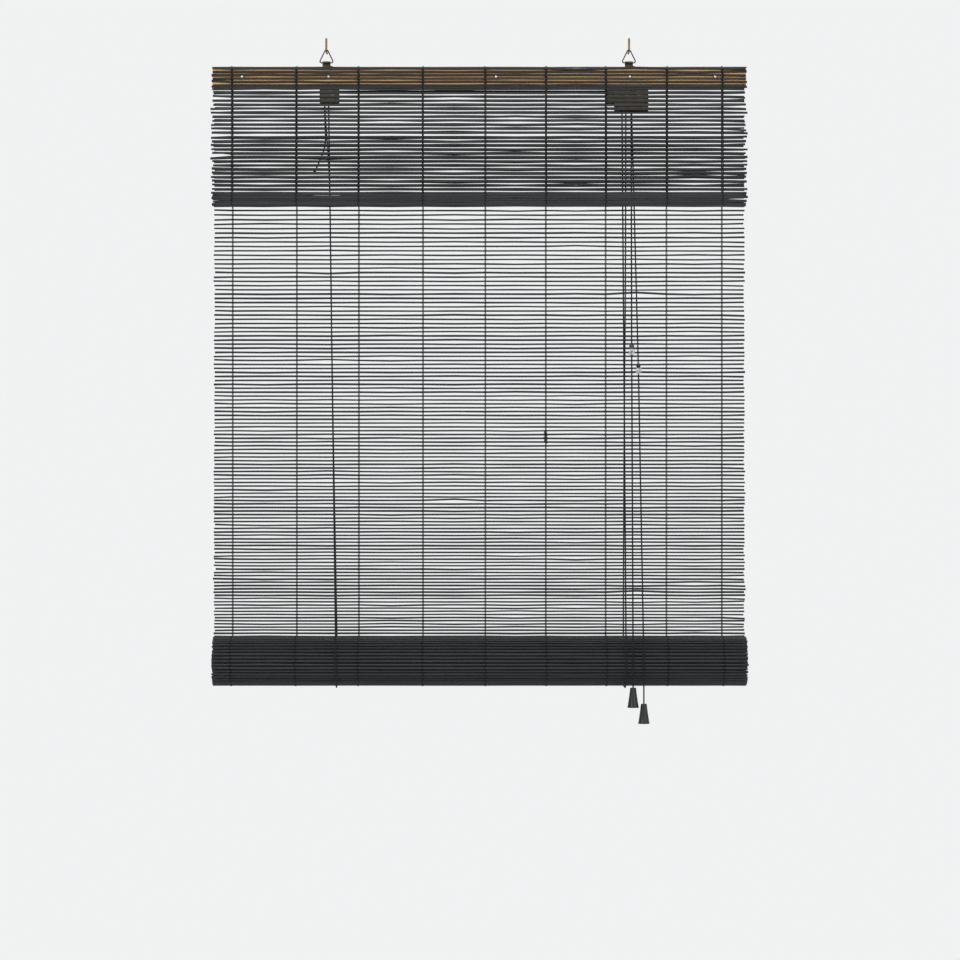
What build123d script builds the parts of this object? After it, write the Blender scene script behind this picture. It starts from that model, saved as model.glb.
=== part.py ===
from build123d import *
import os
from math import asin, atan2, ceil, cos, degrees, hypot, radians, sin, tan

# Bamboo roll up blind, 600 mm wide and 1800 mm long when let down, shown partly rolled up.
# The wall is the plane y = 0 and the blind hangs in front of it, towards -Y.
# The origin lies midway between the two hook screws, where their axes meet the wall.

# Driving sizes of the blind
blind_width = 597.0
blind_shift = 1.7  # the blind's centre line, sideways from the middle of the hooks
wall_gap = 0.4  # between the wall and the cords behind the mat
running_gap = 0.3  # beside whatever turns or slides
seat_gap = 0.1  # between pieces that only lie against each other
end_gap = 0.1  # between the end faces of two stretches of one cord
bore_gap = 0.1  # all round a pin in its hole

# Braided cord
cord_d = 1.8
knot_d = 3.8
knot_end_r = 1.1
knot_length = 4.2
cord_hole_gap = 0.4

# Split bamboo reeds: flat back, narrower crest towards the room
reed_depth = 1.7
reed_height = 1.7
reed_crest = 0.9
reed_ends = ((0.0, 0.6), (1.4, -1.1), (-0.9, 0.9), (0.5, -0.2))  # ragged ends of four kinds of reed
small_sides = 8  # of nails, wires and knots
pin_sides = 12
wheel_sides = 16
thread_width = 1.3
thread_depth = 0.35
thread_shares = (0.0370, 0.1575, 0.2740, 0.3945, 0.5116, 0.6251, 0.7375, 0.8517, 0.9558)  # of the width

# Head batten and its nails
batten_height = 21.6
batten_depth = 10.0
batten_top_z = -18.9
batten_edge = 0.9
nail_r = 0.6
nail_head_r = 1.5
nail_head_depth = 0.8
nail_below_top = 10.15  # between two reeds
outer_nail_x = (-263.5, 20.6, 265.5)

# Screw hooks and hanging rings
hook_spacing = 339.0
hook_r = 1.15
hook_bend_r = 2.5
hook_rise = 14.6
screw_r = 1.0
screw_length = 18.0
screw_point = 4.0
screw_tip_r = 0.2
ring_wire_r = 0.7
ring_bar_z = -12.4
ring_slope = 26  # of its legs, from upright
ring_corner_r = 1.7

# Stamped brackets
sheet = 0.9
sheet_bend_r = 0.7
bracket_spacing = hook_spacing
arch_width = 18.0
arch_top_z = -15.2
tongue_width = 9.0
curl_gap = 0.1
curl_turn = 270
curl_steps = 8
left_channel_width = 21.8
left_channel_height = 17.6
right_channel_width = 46.0
right_channel_height = 25.8
channel_overhang = 10.8  # the lock's channel reaches this far past the arch
channel_step = 8.0
channel_step_height = 8.2
channel_depth = 9.1

# Pulley, lock roller and pawl
axle_r = 1.3
axle_head_r = 2.3
axle_head_depth = 0.5
axle_collar_r = 2.1
sheave_r = 4.0
sheave_rim_r = 6.0
sheave_width = 4.4
sheave_rim = 0.5
sheave_drop = 9.4
lane_spacing = 2.8
left_pulley_offset = 6.0
roller_offset = -4.5
roller_width = 7.3
pawl_offset = 9.4
pawl_rise = 1.2
pawl_hub_r = 2.9
pawl_reach = 6.7
pawl_tooth = 0.5
pawl_teeth = 6
pawl_nose_start = 186
pawl_nose_end = 232

# Valance and hanging mat
valance_bottom_z = -173.8
valance_lean = 6.6  # the lower edge stands this far in front of the batten's mat
valance_pitch = 4.49
mat_shift_z = -94.0  # above it the mat's reeds show between the valance's, below it they line up
valance_dense_pitch = 1.95
valance_dense_reeds = 8
face_pitch = 3.72
mat_top_z = -19.6
mat_open_z = valance_bottom_z - 2.0
mat_open_pitch = 5.1
mat_pitch_loss = 0.0034  # the reeds lie closer the lower they hang
mat_backing = 0.35

# Roll
roll_r = 27.5
roll_z = -682.0
roll_reeds = 52
roll_turns = 10
roll_wall = 1.6
roll_edge_steps = 15  # flat facets in the outermost half turn
bottom_rod_r = 4.5
left_loop_x = -156.4
right_loop_x = 164.6

# Pulls
connector_z = (-328.2, -349.2)
connector_x = (171.7, 179.2)
connector_length = 12.6
connector_r = 3.5
connector_straight = 4.8  # of each half, below its shoulder
connector_end_r = 2.3
connector_wall = 0.8
tassel_top_z = (-710.2, -728.0)
tassel_x = (172.3, 184.2)
tassel_height = 22.2
tassel_top_r = 3.4
tassel_bottom_r = 6.4
tassel_wall = 1.2
tassel_rim = 1.0
tassel_cap = 7.0  # solid part round the cord's bore
tassel_inner_r = 3.0

# Places that follow from the sizes, counted forward from the wall
cord_r = cord_d / 2
back_cord_y = -(wall_gap + cord_r)
mat_back_y = back_cord_y - cord_r - running_gap
mat_y = mat_back_y - reed_depth / 2
plate_back_y = mat_back_y - reed_depth - running_gap
plate_y = plate_back_y - sheet
batten_front_y = plate_y - batten_depth
batten_bottom_z = batten_top_z - batten_height
valance_back_y = batten_front_y - seat_gap - thread_depth
valance_y = valance_back_y - reed_depth / 2
bar_y = plate_y - ring_wire_r - curl_gap
hook_x = (-hook_spacing / 2, hook_spacing / 2)
bracket_x = (blind_shift - bracket_spacing / 2, blind_shift + bracket_spacing / 2)
nail_z = batten_top_z - nail_below_top
left_edge_x = blind_shift - blind_width / 2
thread_x = [left_edge_x + share * blind_width for share in thread_shares]
rail_x = thread_x[len(thread_x) // 2]

channel_front_y = plate_back_y - sheet - channel_depth - sheet
channel_top_z = batten_bottom_z - seat_gap
channel_mid_y = plate_y - channel_depth / 2
back_lane_y = channel_mid_y + lane_spacing / 2
front_lane_y = channel_mid_y - lane_spacing / 2
track_r = sheave_r + running_gap + cord_r
sheave_z = batten_bottom_z - sheave_drop
left_pulley_x = bracket_x[0] + left_pulley_offset
roller_x = bracket_x[1] + roller_offset
left_lift_x = left_pulley_x - track_r
right_lift_x = roller_x - track_r
pull_x = roller_x + track_r
left_channel_x = (bracket_x[0] - arch_width / 2, bracket_x[0] - arch_width / 2 + left_channel_width)
right_channel_end = bracket_x[1] + arch_width / 2 + channel_overhang
right_channel_x = (right_channel_end - right_channel_width, right_channel_end)
pawl_x = bracket_x[1] + pawl_offset
pawl_z = sheave_z + pawl_rise

roll_y = mat_y - (roll_r - reed_depth / 2)
loop_r = roll_r + running_gap + cord_r
mat_clear = mat_y - reed_depth / 2 - running_gap - roll_y
mat_end_z = roll_z + roll_r * sin(asin(1.0) - asin(mat_clear / roll_r)) + reed_height
knot_r = knot_d / 2
cord_hole_r = cord_r + cord_hole_gap
tie_bend_r = 2 * cord_r
left_tie_x = bracket_x[0] - 3.7
left_tie_z = channel_top_z - 13.6
right_tie_x = bracket_x[1] - 5.0
right_tie_z = channel_top_z - 21.0


def roll_tangent(y, z):
    """Where a taut cord from (y, z) meets its loop round the roll, and its lean in degrees."""
    away = hypot(y - roll_y, z - roll_z)
    lean = atan2(y - roll_y, z - roll_z) + asin(loop_r / away)
    return roll_y - loop_r * cos(lean), roll_z + loop_r * sin(lean), degrees(lean)


def reed_profile():
    """Half-section of a reed: flat back, slanted sides and a narrower crest."""
    half = reed_height / 2
    crest = reed_crest / 2
    back = reed_depth / 2
    return ((back, -half), (back, half), (-back, crest), (-back, -crest))


def add_reeds(places, lean=0.0):
    """Reeds at the given (y, z) places, in four kinds of length, in the part being built."""
    turned = radians(lean)
    profile = [(y * cos(turned) - z * sin(turned), y * sin(turned) + z * cos(turned)) for y, z in reed_profile()]
    for kind, (left, right) in enumerate(reed_ends):
        own = places[kind :: len(reed_ends)]
        if own:
            with BuildSketch(Plane.YZ.offset(left_edge_x + left)) as ends:
                with Locations(*own):
                    Polygon(*profile, align=None)
            extrude(ends.sketch, amount=blind_width + right - left)


def add_ribbon(one_side, other_side, x_places, width):
    """A flat strip between two lines of (y, z) points, at each x."""
    for x in x_places:
        with BuildSketch(Plane.YZ.offset(x - width / 2)) as strip:
            Polygon(*one_side, *other_side[::-1], align=None)
        extrude(strip.sketch, amount=width)


def moved(points, y):
    """The (y, z) points moved along Y."""
    return [(place[0] + y, place[1]) for place in points]


def eased(points, radii, step=30.0):
    """The points with each corner cut into short straight lengths round an arc."""
    route = [Vector(points[0])]
    for before, corner, after, radius in zip(points, points[1:], points[2:], radii):
        corner = Vector(corner)
        back = (Vector(before) - corner).normalized()
        on = (Vector(after) - corner).normalized()
        turn = radians(180 - back.get_angle(on))
        centre = corner + (back + on).normalized() * (radius / cos(turn / 2))
        first = corner + back * (radius * tan(turn / 2)) - centre
        last = corner + on * (radius * tan(turn / 2)) - centre
        count = max(1, ceil(degrees(turn) / step))
        for i in range(count + 1):
            share = i / count
            arm = first * (sin((1 - share) * turn) / sin(turn)) + last * (sin(share * turn) / sin(turn))
            route.append(centre + arm)
    route.append(Vector(points[-1]))
    return route


def arc_points(centre, radius, start, turn, count):
    """Points on an arc, as pairs."""
    angles = [radians(start + turn * i / count) for i in range(count + 1)]
    return [(centre[0] + radius * cos(a), centre[1] + radius * sin(a)) for a in angles]


def tube_along(route, radius, sides):
    """A many sided tube through the points, mitred at each."""
    with BuildPart() as tube:
        with BuildLine() as path:
            Polyline(*route)
        with BuildSketch(Plane(origin=path.line @ 0, z_dir=path.line % 0)):
            RegularPolygon(radius, sides)
        sweep(path=path.line, transition=Transition.RIGHT)
    return tube.part


def cord_along(points, radii=()):
    """A cord through the points, its corners rounded to the given radii."""
    return tube_along(eased(points, radii) if radii else points, cord_r, 6)


def frustum(place, along, first_r, last_r, length, sides):
    """A flat sided cone's middle part, standing on a place."""
    foot = Plane(origin=place, z_dir=along)
    turns = [radians(360 * i / sides) for i in range(sides)]
    low = [foot.from_local_coords((first_r * cos(a), first_r * sin(a), 0)) for a in turns]
    high = [foot.from_local_coords((last_r * cos(a), last_r * sin(a), length)) for a in turns]
    faces = [Face(Wire.make_polygon(low)), Face(Wire.make_polygon(high))]
    for i in range(sides):
        after = (i + 1) % sides
        faces.append(Face(Wire.make_polygon([low[i], low[after], high[after], high[i]])))
    return Part() + Solid(Shell(faces))


def knot_at(place, along):
    """A small knot, wider in its middle, centred on a place on the cord."""
    along = Vector(along).normalized()
    half = knot_length / 2
    upper = frustum(place, along, knot_r, knot_end_r, half, small_sides)
    return upper + frustum(place, along * -1, knot_r, knot_end_r, half, small_sides)


def save(part, name):
    """Labels a finished piece and writes it to its own file."""
    part.label = name
    export_step(part, f"parts/{name}.step")


os.makedirs("parts", exist_ok=True)

# Wall hooks: a screw into the wall that bends up in front of the ring
hook_front_y = bar_y - ring_wire_r - hook_bend_r - hook_r - seat_gap
with BuildPart() as wall_hooks:
    for x in hook_x:
        with BuildSketch(Plane.XZ):
            with Locations((x, 0)):
                Circle(screw_r)
        extrude(amount=-(screw_length - screw_point))
        add(frustum((x, screw_length - screw_point, 0), (0, 1, 0), screw_r, screw_tip_r, screw_point, small_sides))
        elbow = (x, hook_front_y, 0)
        route = eased([(x, 0, 0), elbow, (x, hook_front_y, hook_rise)], (hook_bend_r,), 18)
        add(tube_along(route, hook_r, pin_sides))
save(wall_hooks.part, "wall_hooks")

# Hanging rings: triangles of bent wire over the hook's shank
ring_apex_r = hook_r + ring_wire_r + seat_gap
ring_apex_z = ring_apex_r / sin(radians(ring_slope))
ring_foot = (ring_apex_z - ring_bar_z) * tan(radians(ring_slope))
with BuildPart() as hanging_rings:
    for x in hook_x:
        for way in (1, -1):
            foot = (x + way * ring_foot, bar_y, ring_bar_z)
            half_ring = [(x, bar_y, ring_bar_z), foot, (x, bar_y, ring_apex_z), (x - way * ring_foot, bar_y, ring_bar_z)]
            route = eased(half_ring, (ring_corner_r, ring_apex_r))[:-4]
            top = Vector(x, bar_y, route[-1].Z)
            add(tube_along([*route, top], ring_wire_r, small_sides))
        with BuildSketch(Plane.YZ.offset(x - tongue_width / 2)):
            with Locations((bar_y, ring_bar_z)):
                Circle(ring_wire_r)
        extrude(amount=tongue_width)
save(hanging_rings.part, "hanging_rings")

# Head batten with pilot holes for its nails
nail_x = [outer_nail_x[0], bracket_x[0] + 1.0, outer_nail_x[1], bracket_x[1] - 1.0, outer_nail_x[2]]
with BuildPart() as head_batten:
    with BuildSketch(Plane.YZ.offset(left_edge_x)) as batten_ends:
        with Locations((batten_front_y + batten_depth / 2, batten_top_z - batten_height / 2)):
            Rectangle(batten_depth, batten_height)
        chamfer(batten_ends.vertices(), batten_edge)
    extrude(amount=blind_width)
    with BuildSketch(Plane.XZ.offset(-plate_y)):
        with Locations(*[(x, nail_z) for x in nail_x]):
            RegularPolygon(nail_r + bore_gap, small_sides)
    extrude(amount=batten_depth, mode=Mode.SUBTRACT)
save(head_batten.part, "head_batten")

# Nails: flat heads on the valance's reeds, points flush with the back of the brackets
nail_head_y = valance_y - reed_depth / 2 - seat_gap
with BuildPart() as batten_nails:
    with BuildSketch(Plane.XZ.offset(-nail_head_y)):
        with Locations(*[(x, nail_z) for x in nail_x]):
            RegularPolygon(nail_head_r, pin_sides)
    extrude(amount=nail_head_depth)
    with BuildSketch(Plane.XZ.offset(-nail_head_y)):
        with Locations(*[(x, nail_z) for x in nail_x]):
            RegularPolygon(nail_r, small_sides)
    extrude(amount=nail_head_y - plate_back_y)
save(batten_nails.part, "batten_nails")


def bracket(centre_x, ring_x, channel_x, channel_height, wall_on_left, axles, step=0.0):
    """A stamped bracket: channel under the batten, arched plate behind it, tongue round the ring."""
    channel_bottom_z = channel_top_z - channel_height
    with BuildPart() as plate:
        # Channel: one sheet bent round its closed side, open towards the other bracket
        side, mouth = channel_x if wall_on_left else channel_x[::-1]
        inward = 1 if wall_on_left else -1
        with BuildSketch(Plane.XY.offset(channel_bottom_z)):
            inside = inward * sheet
            cut = inward * sheet_bend_r
            Polygon(
                (mouth, plate_back_y),
                (side + cut, plate_back_y),
                (side, plate_back_y - sheet_bend_r),
                (side, channel_front_y + sheet_bend_r),
                (side + cut, channel_front_y),
                (mouth, channel_front_y),
                (mouth, channel_front_y + sheet),
                (side + inside, channel_front_y + sheet),
                (side + inside, plate_y),
                (mouth, plate_y),
                align=None,
            )
        extrude(amount=channel_height)
        if step:
            with BuildSketch(Plane.XZ.offset(-plate_back_y)):
                with Locations((mouth, channel_bottom_z)):
                    Rectangle(2 * step, 2 * channel_step_height)
            extrude(amount=plate_back_y - channel_front_y, mode=Mode.SUBTRACT)
        # Plate behind the batten, with rounded shoulders below the tongue
        with BuildSketch(Plane.XZ.offset(-plate_back_y)) as outline:
            half = arch_width / 2
            with BuildLine():
                Line((centre_x - half, channel_top_z - sheet), (centre_x + half, channel_top_z - sheet))
                Line((centre_x + half, channel_top_z - sheet), (centre_x + half, batten_top_z))
                ThreePointArc(
                    (centre_x + half, batten_top_z),
                    (centre_x, arch_top_z),
                    (centre_x - half, batten_top_z),
                )
                Line((centre_x - half, batten_top_z), (centre_x - half, channel_top_z - sheet))
            make_face()
            with Locations((ring_x, (ring_bar_z + batten_top_z) / 2)):
                Rectangle(tongue_width, ring_bar_z - batten_top_z)
        extrude(amount=sheet)
        # Curl round the ring's bar
        with BuildSketch(Plane.YZ.offset(ring_x - tongue_width / 2)):
            bends = [radians(curl_turn * i / curl_steps) for i in range(curl_steps + 1)]
            inner_r = (ring_wire_r + curl_gap) / cos(radians(curl_turn / curl_steps / 2))
            outer_r = ring_wire_r + curl_gap + sheet
            inner = [(bar_y + inner_r * cos(a), ring_bar_z + inner_r * sin(a)) for a in bends]
            outer = [(bar_y + outer_r * cos(a), ring_bar_z + outer_r * sin(a)) for a in bends]
            Polygon(*inner, *outer[::-1], align=None)
        extrude(amount=tongue_width)
        # Holes for the axles, the nail and the tied end of the cord
        with BuildSketch(Plane.XZ.offset(-plate_back_y)):
            with Locations(*axles):
                RegularPolygon(axle_r + bore_gap, pin_sides)
        extrude(amount=plate_back_y - channel_front_y, mode=Mode.SUBTRACT)
        with BuildSketch(Plane.XZ.offset(-plate_back_y)):
            with Locations((nail_x[1] if wall_on_left else nail_x[3], nail_z)):
                RegularPolygon(nail_r + bore_gap, small_sides)
            with Locations((left_tie_x, left_tie_z) if wall_on_left else (right_tie_x, right_tie_z)):
                RegularPolygon(cord_hole_r, pin_sides)
        extrude(amount=sheet, mode=Mode.SUBTRACT)
    return plate.part


left_axle = (left_pulley_x, sheave_z)
lock_axle = (roller_x, sheave_z)
pawl_axle = (pawl_x, pawl_z)
save(bracket(bracket_x[0], hook_x[0], left_channel_x, left_channel_height, True, [left_axle]), "left_bracket")
right_holes = [lock_axle, pawl_axle]
right_plate = bracket(
    bracket_x[1], hook_x[1], right_channel_x, right_channel_height, False, right_holes, channel_step
)
save(right_plate, "right_bracket")


def axle(place, collar=0.0):
    """A rivet through both sheets of a channel, with a head in front and perhaps a collar."""
    x, z = place
    with BuildPart() as rivet:
        with BuildSketch(Plane.XZ.offset(-plate_back_y + seat_gap)):
            with Locations((x, z)):
                Circle(axle_r)
        extrude(amount=plate_back_y - channel_front_y)
        with BuildSketch(Plane.XZ.offset(-channel_front_y + seat_gap)):
            with Locations((x, z)):
                RegularPolygon(axle_head_r, pin_sides)
        extrude(amount=axle_head_depth)
        if collar:
            with BuildSketch(Plane.XZ.offset(-plate_y + seat_gap)):
                with Locations((x, z)):
                    RegularPolygon(axle_collar_r, pin_sides)
            extrude(amount=collar)
    return rivet.part


left_collar = plate_y - seat_gap - (front_lane_y + sheave_width / 2 + running_gap)
save(axle(left_axle, left_collar), "left_pulley_pin")
save(axle(lock_axle), "lock_roller_pin")
save(axle(pawl_axle), "lock_pawl_pin")

# Left pulley: a grooved wheel in the front lane
sheave_lip = sheave_width / 2 - cord_r - sheave_rim
sheave_stack = (
    (sheave_rim_r, sheave_rim_r, sheave_rim),
    (sheave_rim_r, sheave_r, sheave_lip),
    (sheave_r, sheave_r, 2 * cord_r),
    (sheave_r, sheave_rim_r, sheave_lip),
    (sheave_rim_r, sheave_rim_r, sheave_rim),
)
with BuildPart() as left_pulley:
    at_y = front_lane_y - sheave_width / 2
    for first_r, last_r, length in sheave_stack:
        add(frustum((left_pulley_x, at_y, sheave_z), (0, 1, 0), first_r, last_r, length, wheel_sides))
        at_y = at_y + length
    with BuildSketch(Plane.XZ.offset(-at_y)):
        with Locations(left_axle):
            RegularPolygon(axle_r + bore_gap, pin_sides)
    extrude(amount=sheave_width, mode=Mode.SUBTRACT)
save(left_pulley.part, "left_pulley")

# Lock roller: a plain drum across both lanes
with BuildPart() as lock_roller:
    with BuildSketch(Plane.XZ.offset(-channel_mid_y - roller_width / 2)):
        with Locations(lock_axle):
            RegularPolygon(sheave_r, wheel_sides)
            RegularPolygon(axle_r + bore_gap, pin_sides, mode=Mode.SUBTRACT)
    extrude(amount=roller_width)
save(lock_roller.part, "lock_roller")

# Lock pawl: a hub with a toothed nose beside the cords
with BuildPart() as lock_pawl:
    with BuildSketch(Plane.XZ.offset(-channel_mid_y - roller_width / 2)):
        with Locations(pawl_axle):
            RegularPolygon(pawl_hub_r, wheel_sides)
        with BuildLine():
            tip_step = (pawl_nose_end - pawl_nose_start) / (2 * pawl_teeth)
            nose = [
                (
                    pawl_x + (pawl_reach + pawl_tooth * (i % 2)) * cos(radians(pawl_nose_start + i * tip_step)),
                    pawl_z + (pawl_reach + pawl_tooth * (i % 2)) * sin(radians(pawl_nose_start + i * tip_step)),
                )
                for i in range(2 * pawl_teeth + 1)
            ]
            heel = radians((pawl_nose_start + pawl_nose_end) / 2)
            across = (pawl_hub_r * sin(heel), -pawl_hub_r * cos(heel))
            start = (pawl_x + across[0], pawl_z + across[1])
            finish = (pawl_x - across[0], pawl_z - across[1])
            Polyline(start, *nose, finish, close=True)
        make_face()
        with Locations(pawl_axle):
            RegularPolygon(axle_r + bore_gap, pin_sides, mode=Mode.SUBTRACT)
    extrude(amount=roller_width)
save(lock_pawl.part, "lock_pawl")

# Valance: the mat folded over the batten's top and hanging in front
top_back_z = batten_top_z + seat_gap + thread_depth
top_reeds = [(y, top_back_z + reed_depth / 2) for y in (plate_y - 1.5, plate_y - 4.6, plate_y - 7.9)]
face_reeds = [(valance_y, batten_top_z - reed_height / 2 - face_pitch * i) for i in range(6)]
dense_z = [valance_bottom_z + reed_height / 2 + valance_dense_pitch * i for i in range(valance_dense_reeds)]
open_top_z = face_reeds[-1][1]
open_count = round((open_top_z - dense_z[-1]) / valance_pitch)
open_pitch = (open_top_z - dense_z[-1]) / open_count
flap_z = [open_top_z - open_pitch * (i + 1) for i in range(open_count - 1)] + dense_z[::-1]


def flap_y(z):
    """How far forward the valance hangs at a height below the batten."""
    return valance_y - valance_lean * (open_top_z - z) / (open_top_z - valance_bottom_z)


flap_lean = degrees(atan2(valance_lean, open_top_z - valance_bottom_z))
valance_flap = [(flap_y(z), z) for z in flap_z]
fold_back = [
    (plate_y - seat_gap, top_back_z),
    (valance_back_y, top_back_z),
    (valance_back_y, open_top_z),
    (valance_back_y - valance_lean, valance_bottom_z),
]
fold_inside = [
    (plate_y - seat_gap, top_back_z + mat_backing),
    (valance_back_y - mat_backing, top_back_z + mat_backing),
    (valance_back_y - mat_backing, open_top_z),
    (valance_back_y - valance_lean - mat_backing, valance_bottom_z),
]
rail = [(valance_back_y, open_top_z + 0.8), *fold_back[2:]]
packed = [(flap_y(z) + reed_depth / 2 / cos(radians(flap_lean)), z) for z in (dense_z[-1], dense_z[0])]
with BuildPart() as valance_mat:
    add_reeds(face_reeds)
    add_reeds(valance_flap, -flap_lean)
    with BuildSketch(Plane.YZ.offset(left_edge_x)):
        for y, z in top_reeds:
            Polygon(*[(y + across, z - depth) for depth, across in reed_profile()], align=None)
    extrude(amount=blind_width)
    # One rail, on the middle thread, and the closed parts hold the reeds together
    add_ribbon(rail, moved(rail, thread_depth), (rail_x,), thread_width)
    add_ribbon(fold_back[:3], fold_inside[:3], (blind_shift,), blind_width - 8)
    add_ribbon(packed, moved(packed, -mat_backing), (blind_shift,), blind_width - 8)
    with BuildSketch(Plane.XZ.offset(-plate_y)):
        with Locations(*[(x, nail_z) for x in nail_x]):
            RegularPolygon(nail_r + bore_gap, small_sides)
    extrude(amount=plate_y - valance_y + reed_depth, mode=Mode.SUBTRACT)
save(valance_mat.part, "valance_mat")

# Warp threads of the valance, outside its reeds and behind its flap
outside = reed_depth + seat_gap
fold_front = [
    (plate_y - seat_gap, top_back_z + outside),
    (valance_back_y - outside, top_back_z + outside),
    (valance_back_y - outside, open_top_z),
    (valance_back_y - outside - valance_lean, valance_bottom_z),
]
fold_outer = [
    (plate_y - seat_gap, top_back_z + outside + thread_depth),
    (valance_back_y - outside - thread_depth, top_back_z + outside + thread_depth),
    (valance_back_y - outside - thread_depth, open_top_z),
    (valance_back_y - outside - thread_depth - valance_lean, valance_bottom_z),
]
with BuildPart() as valance_threads:
    add_ribbon(fold_front, fold_outer, thread_x, thread_width)
save(valance_threads.part, "valance_threads")

# Hanging mat: closed behind the valance, open reeds below it, reeds closer towards the roll
mat_z = []
z = open_top_z + open_pitch * 3.5
while z > mat_open_z:
    mat_z.append(z)
    shifted = mat_z[-1] > mat_shift_z >= z - open_pitch
    z = z - open_pitch * (1.5 if shifted else 1.0)
closed_end_z = mat_z[-1]
pitch = mat_open_pitch
while mat_z[-1] - pitch > mat_end_z:
    mat_z.append(mat_z[-1] - pitch)
    pitch -= pitch * mat_pitch_loss
whole_back = [(mat_back_y, mat_z[0]), (mat_back_y, mat_z[-1])]
closed_back = [(mat_back_y, mat_z[0]), (mat_back_y, closed_end_z)]
with BuildPart() as hanging_mat:
    add_reeds([(mat_y, z) for z in mat_z])
    add_ribbon(whole_back, moved(whole_back, thread_depth), (rail_x,), thread_width)
    add_ribbon(
        moved(closed_back, -reed_depth / 2 + mat_backing / 2),
        moved(closed_back, -reed_depth / 2 - mat_backing / 2),
        (blind_shift,),
        blind_width - 8,
    )
    with BuildSketch(Plane.XZ.offset(-mat_back_y)):
        with Locations((left_tie_x, left_tie_z), (right_tie_x, right_tie_z)):
            RegularPolygon(cord_hole_r, pin_sides)
    extrude(amount=reed_depth, mode=Mode.SUBTRACT)
save(hanging_mat.part, "hanging_mat")

# Warp threads of the hanging mat, in front of the reeds and behind them
thread_front = moved(whole_back, -outside)
thread_back = moved(whole_back, seat_gap)
with BuildPart() as hanging_threads:
    add_ribbon(thread_front, moved(thread_front, -thread_depth), thread_x, thread_width)
    add_ribbon(thread_back, moved(thread_back, thread_depth), [x for x in thread_x if x != rail_x], thread_width)
save(hanging_threads.part, "hanging_threads")

# Roll: one long scroll of the mat, its outermost turn showing the reeds
roll_outer = roll_r - roll_wall / 2
roll_pitch = (roll_outer - roll_wall / 2 - bottom_rod_r - 3 * seat_gap) / roll_turns
roll_end_angle = 20.0
reed_angle = 360 / roll_reeds


def on_scroll(half, turned, offset):
    """A point on one half turn of the scroll, a number of degrees clockwise from its start."""
    centre = roll_pitch / 4
    radius = roll_outer - roll_pitch / 4 - half * roll_pitch / 2 + offset
    if half % 2:
        centre = -centre
        turned = turned + 180
    start = radians(roll_end_angle)
    angle = radians(roll_end_angle - turned)
    return (
        roll_y + centre * cos(start) + radius * cos(angle),
        roll_z + centre * sin(start) + radius * sin(angle),
    )


reeds_in_half = roll_reeds // 2
ridges = []
for i in range(roll_reeds):
    half = i // reeds_in_half
    middle = (i % reeds_in_half + 0.5) * reed_angle
    valley = reed_angle * 0.28
    crest = reed_angle * 0.16
    ridges.append(on_scroll(half, middle - valley, 0.0))
    ridges.append(on_scroll(half, middle - crest, roll_wall / 2))
    ridges.append(on_scroll(half, middle + crest, roll_wall / 2))
    ridges.append(on_scroll(half, middle + valley, 0.0))
outer_side = []
inner_side = []
for half in range(2 * roll_turns):
    steps = max(6, round(roll_edge_steps * (1 - half / (2 * roll_turns + 3))))
    for i in range(steps):
        inner_side.append(on_scroll(half, 180 * i / steps, -roll_wall / 2))
        if half > 1:
            outer_side.append(on_scroll(half, 180 * i / steps, roll_wall / 2))
outer_side.append(on_scroll(2 * roll_turns - 1, 180, roll_wall / 2))
inner_side.append(on_scroll(2 * roll_turns - 1, 180, -roll_wall / 2))
with BuildPart() as rolled_mat:
    with BuildSketch(Plane.YZ.offset(left_edge_x)):
        Polygon(*ridges, *outer_side, *inner_side[::-1], align=None)
    extrude(amount=blind_width)
save(rolled_mat.part, "rolled_mat")

# Bottom rod in the middle of the roll
with BuildPart() as bottom_rod:
    with BuildSketch(Plane.YZ.offset(left_edge_x)):
        with Locations((roll_y, roll_z)):
            Circle(bottom_rod_r)
    extrude(amount=blind_width)
save(bottom_rod.part, "bottom_rod")

# Cords on the head: over the pulley to the lock, and over the lock's roller
over_left = arc_points(left_axle, track_r, 180, -90, 3)
over_right = arc_points(lock_axle, track_r, 90, -90, 3)
with BuildPart() as lock_cords:
    add(tube_along([(x, front_lane_y, z) for x, z in over_left + over_right], cord_r, 6))
    over_roller = arc_points(lock_axle, track_r, 180, -180, 6)
    add(tube_along([(x, back_lane_y, z) for x, z in over_roller], cord_r, 6))
save(lock_cords.part, "lock_cords")

# Front runs of the lift cords, from the head down to the loops
left_y, left_z, left_lean = roll_tangent(front_lane_y, sheave_z)
right_y, right_z, right_lean = roll_tangent(back_lane_y, sheave_z)
left_top = (left_lift_x, front_lane_y, sheave_z - end_gap)
right_top = (right_lift_x, back_lane_y, sheave_z - end_gap)
front_runs = [
    cord_along([left_top, (left_loop_x, left_y, left_z + end_gap)]),
    cord_along([right_top, (right_loop_x, right_y, right_z + end_gap)]),
]
save(Compound(children=front_runs), "lift_front_runs")

# Loops under the roll
with BuildPart() as roll_loops:
    for x, lean in ((left_loop_x, left_lean), (right_loop_x, right_lean)):
        under = arc_points((roll_y, roll_z), loop_r, 180 - lean, 180 + lean, 12)
        add(tube_along([(x, y, z) for y, z in under], cord_r, 6))
save(roll_loops.part, "roll_cord_loops")

# Back runs, behind the mat, up to the tied ends
tie_drop = 12.0
back_runs = [
    cord_along(
        [
            (left_loop_x, back_cord_y, roll_z + end_gap),
            (left_tie_x, back_cord_y, left_tie_z - tie_drop - end_gap),
        ]
    ),
    cord_along(
        [
            (right_loop_x, back_cord_y, roll_z + end_gap),
            (right_tie_x, back_cord_y, right_tie_z - tie_drop - end_gap),
        ]
    ),
]
save(Compound(children=back_runs), "lift_back_runs")

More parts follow.
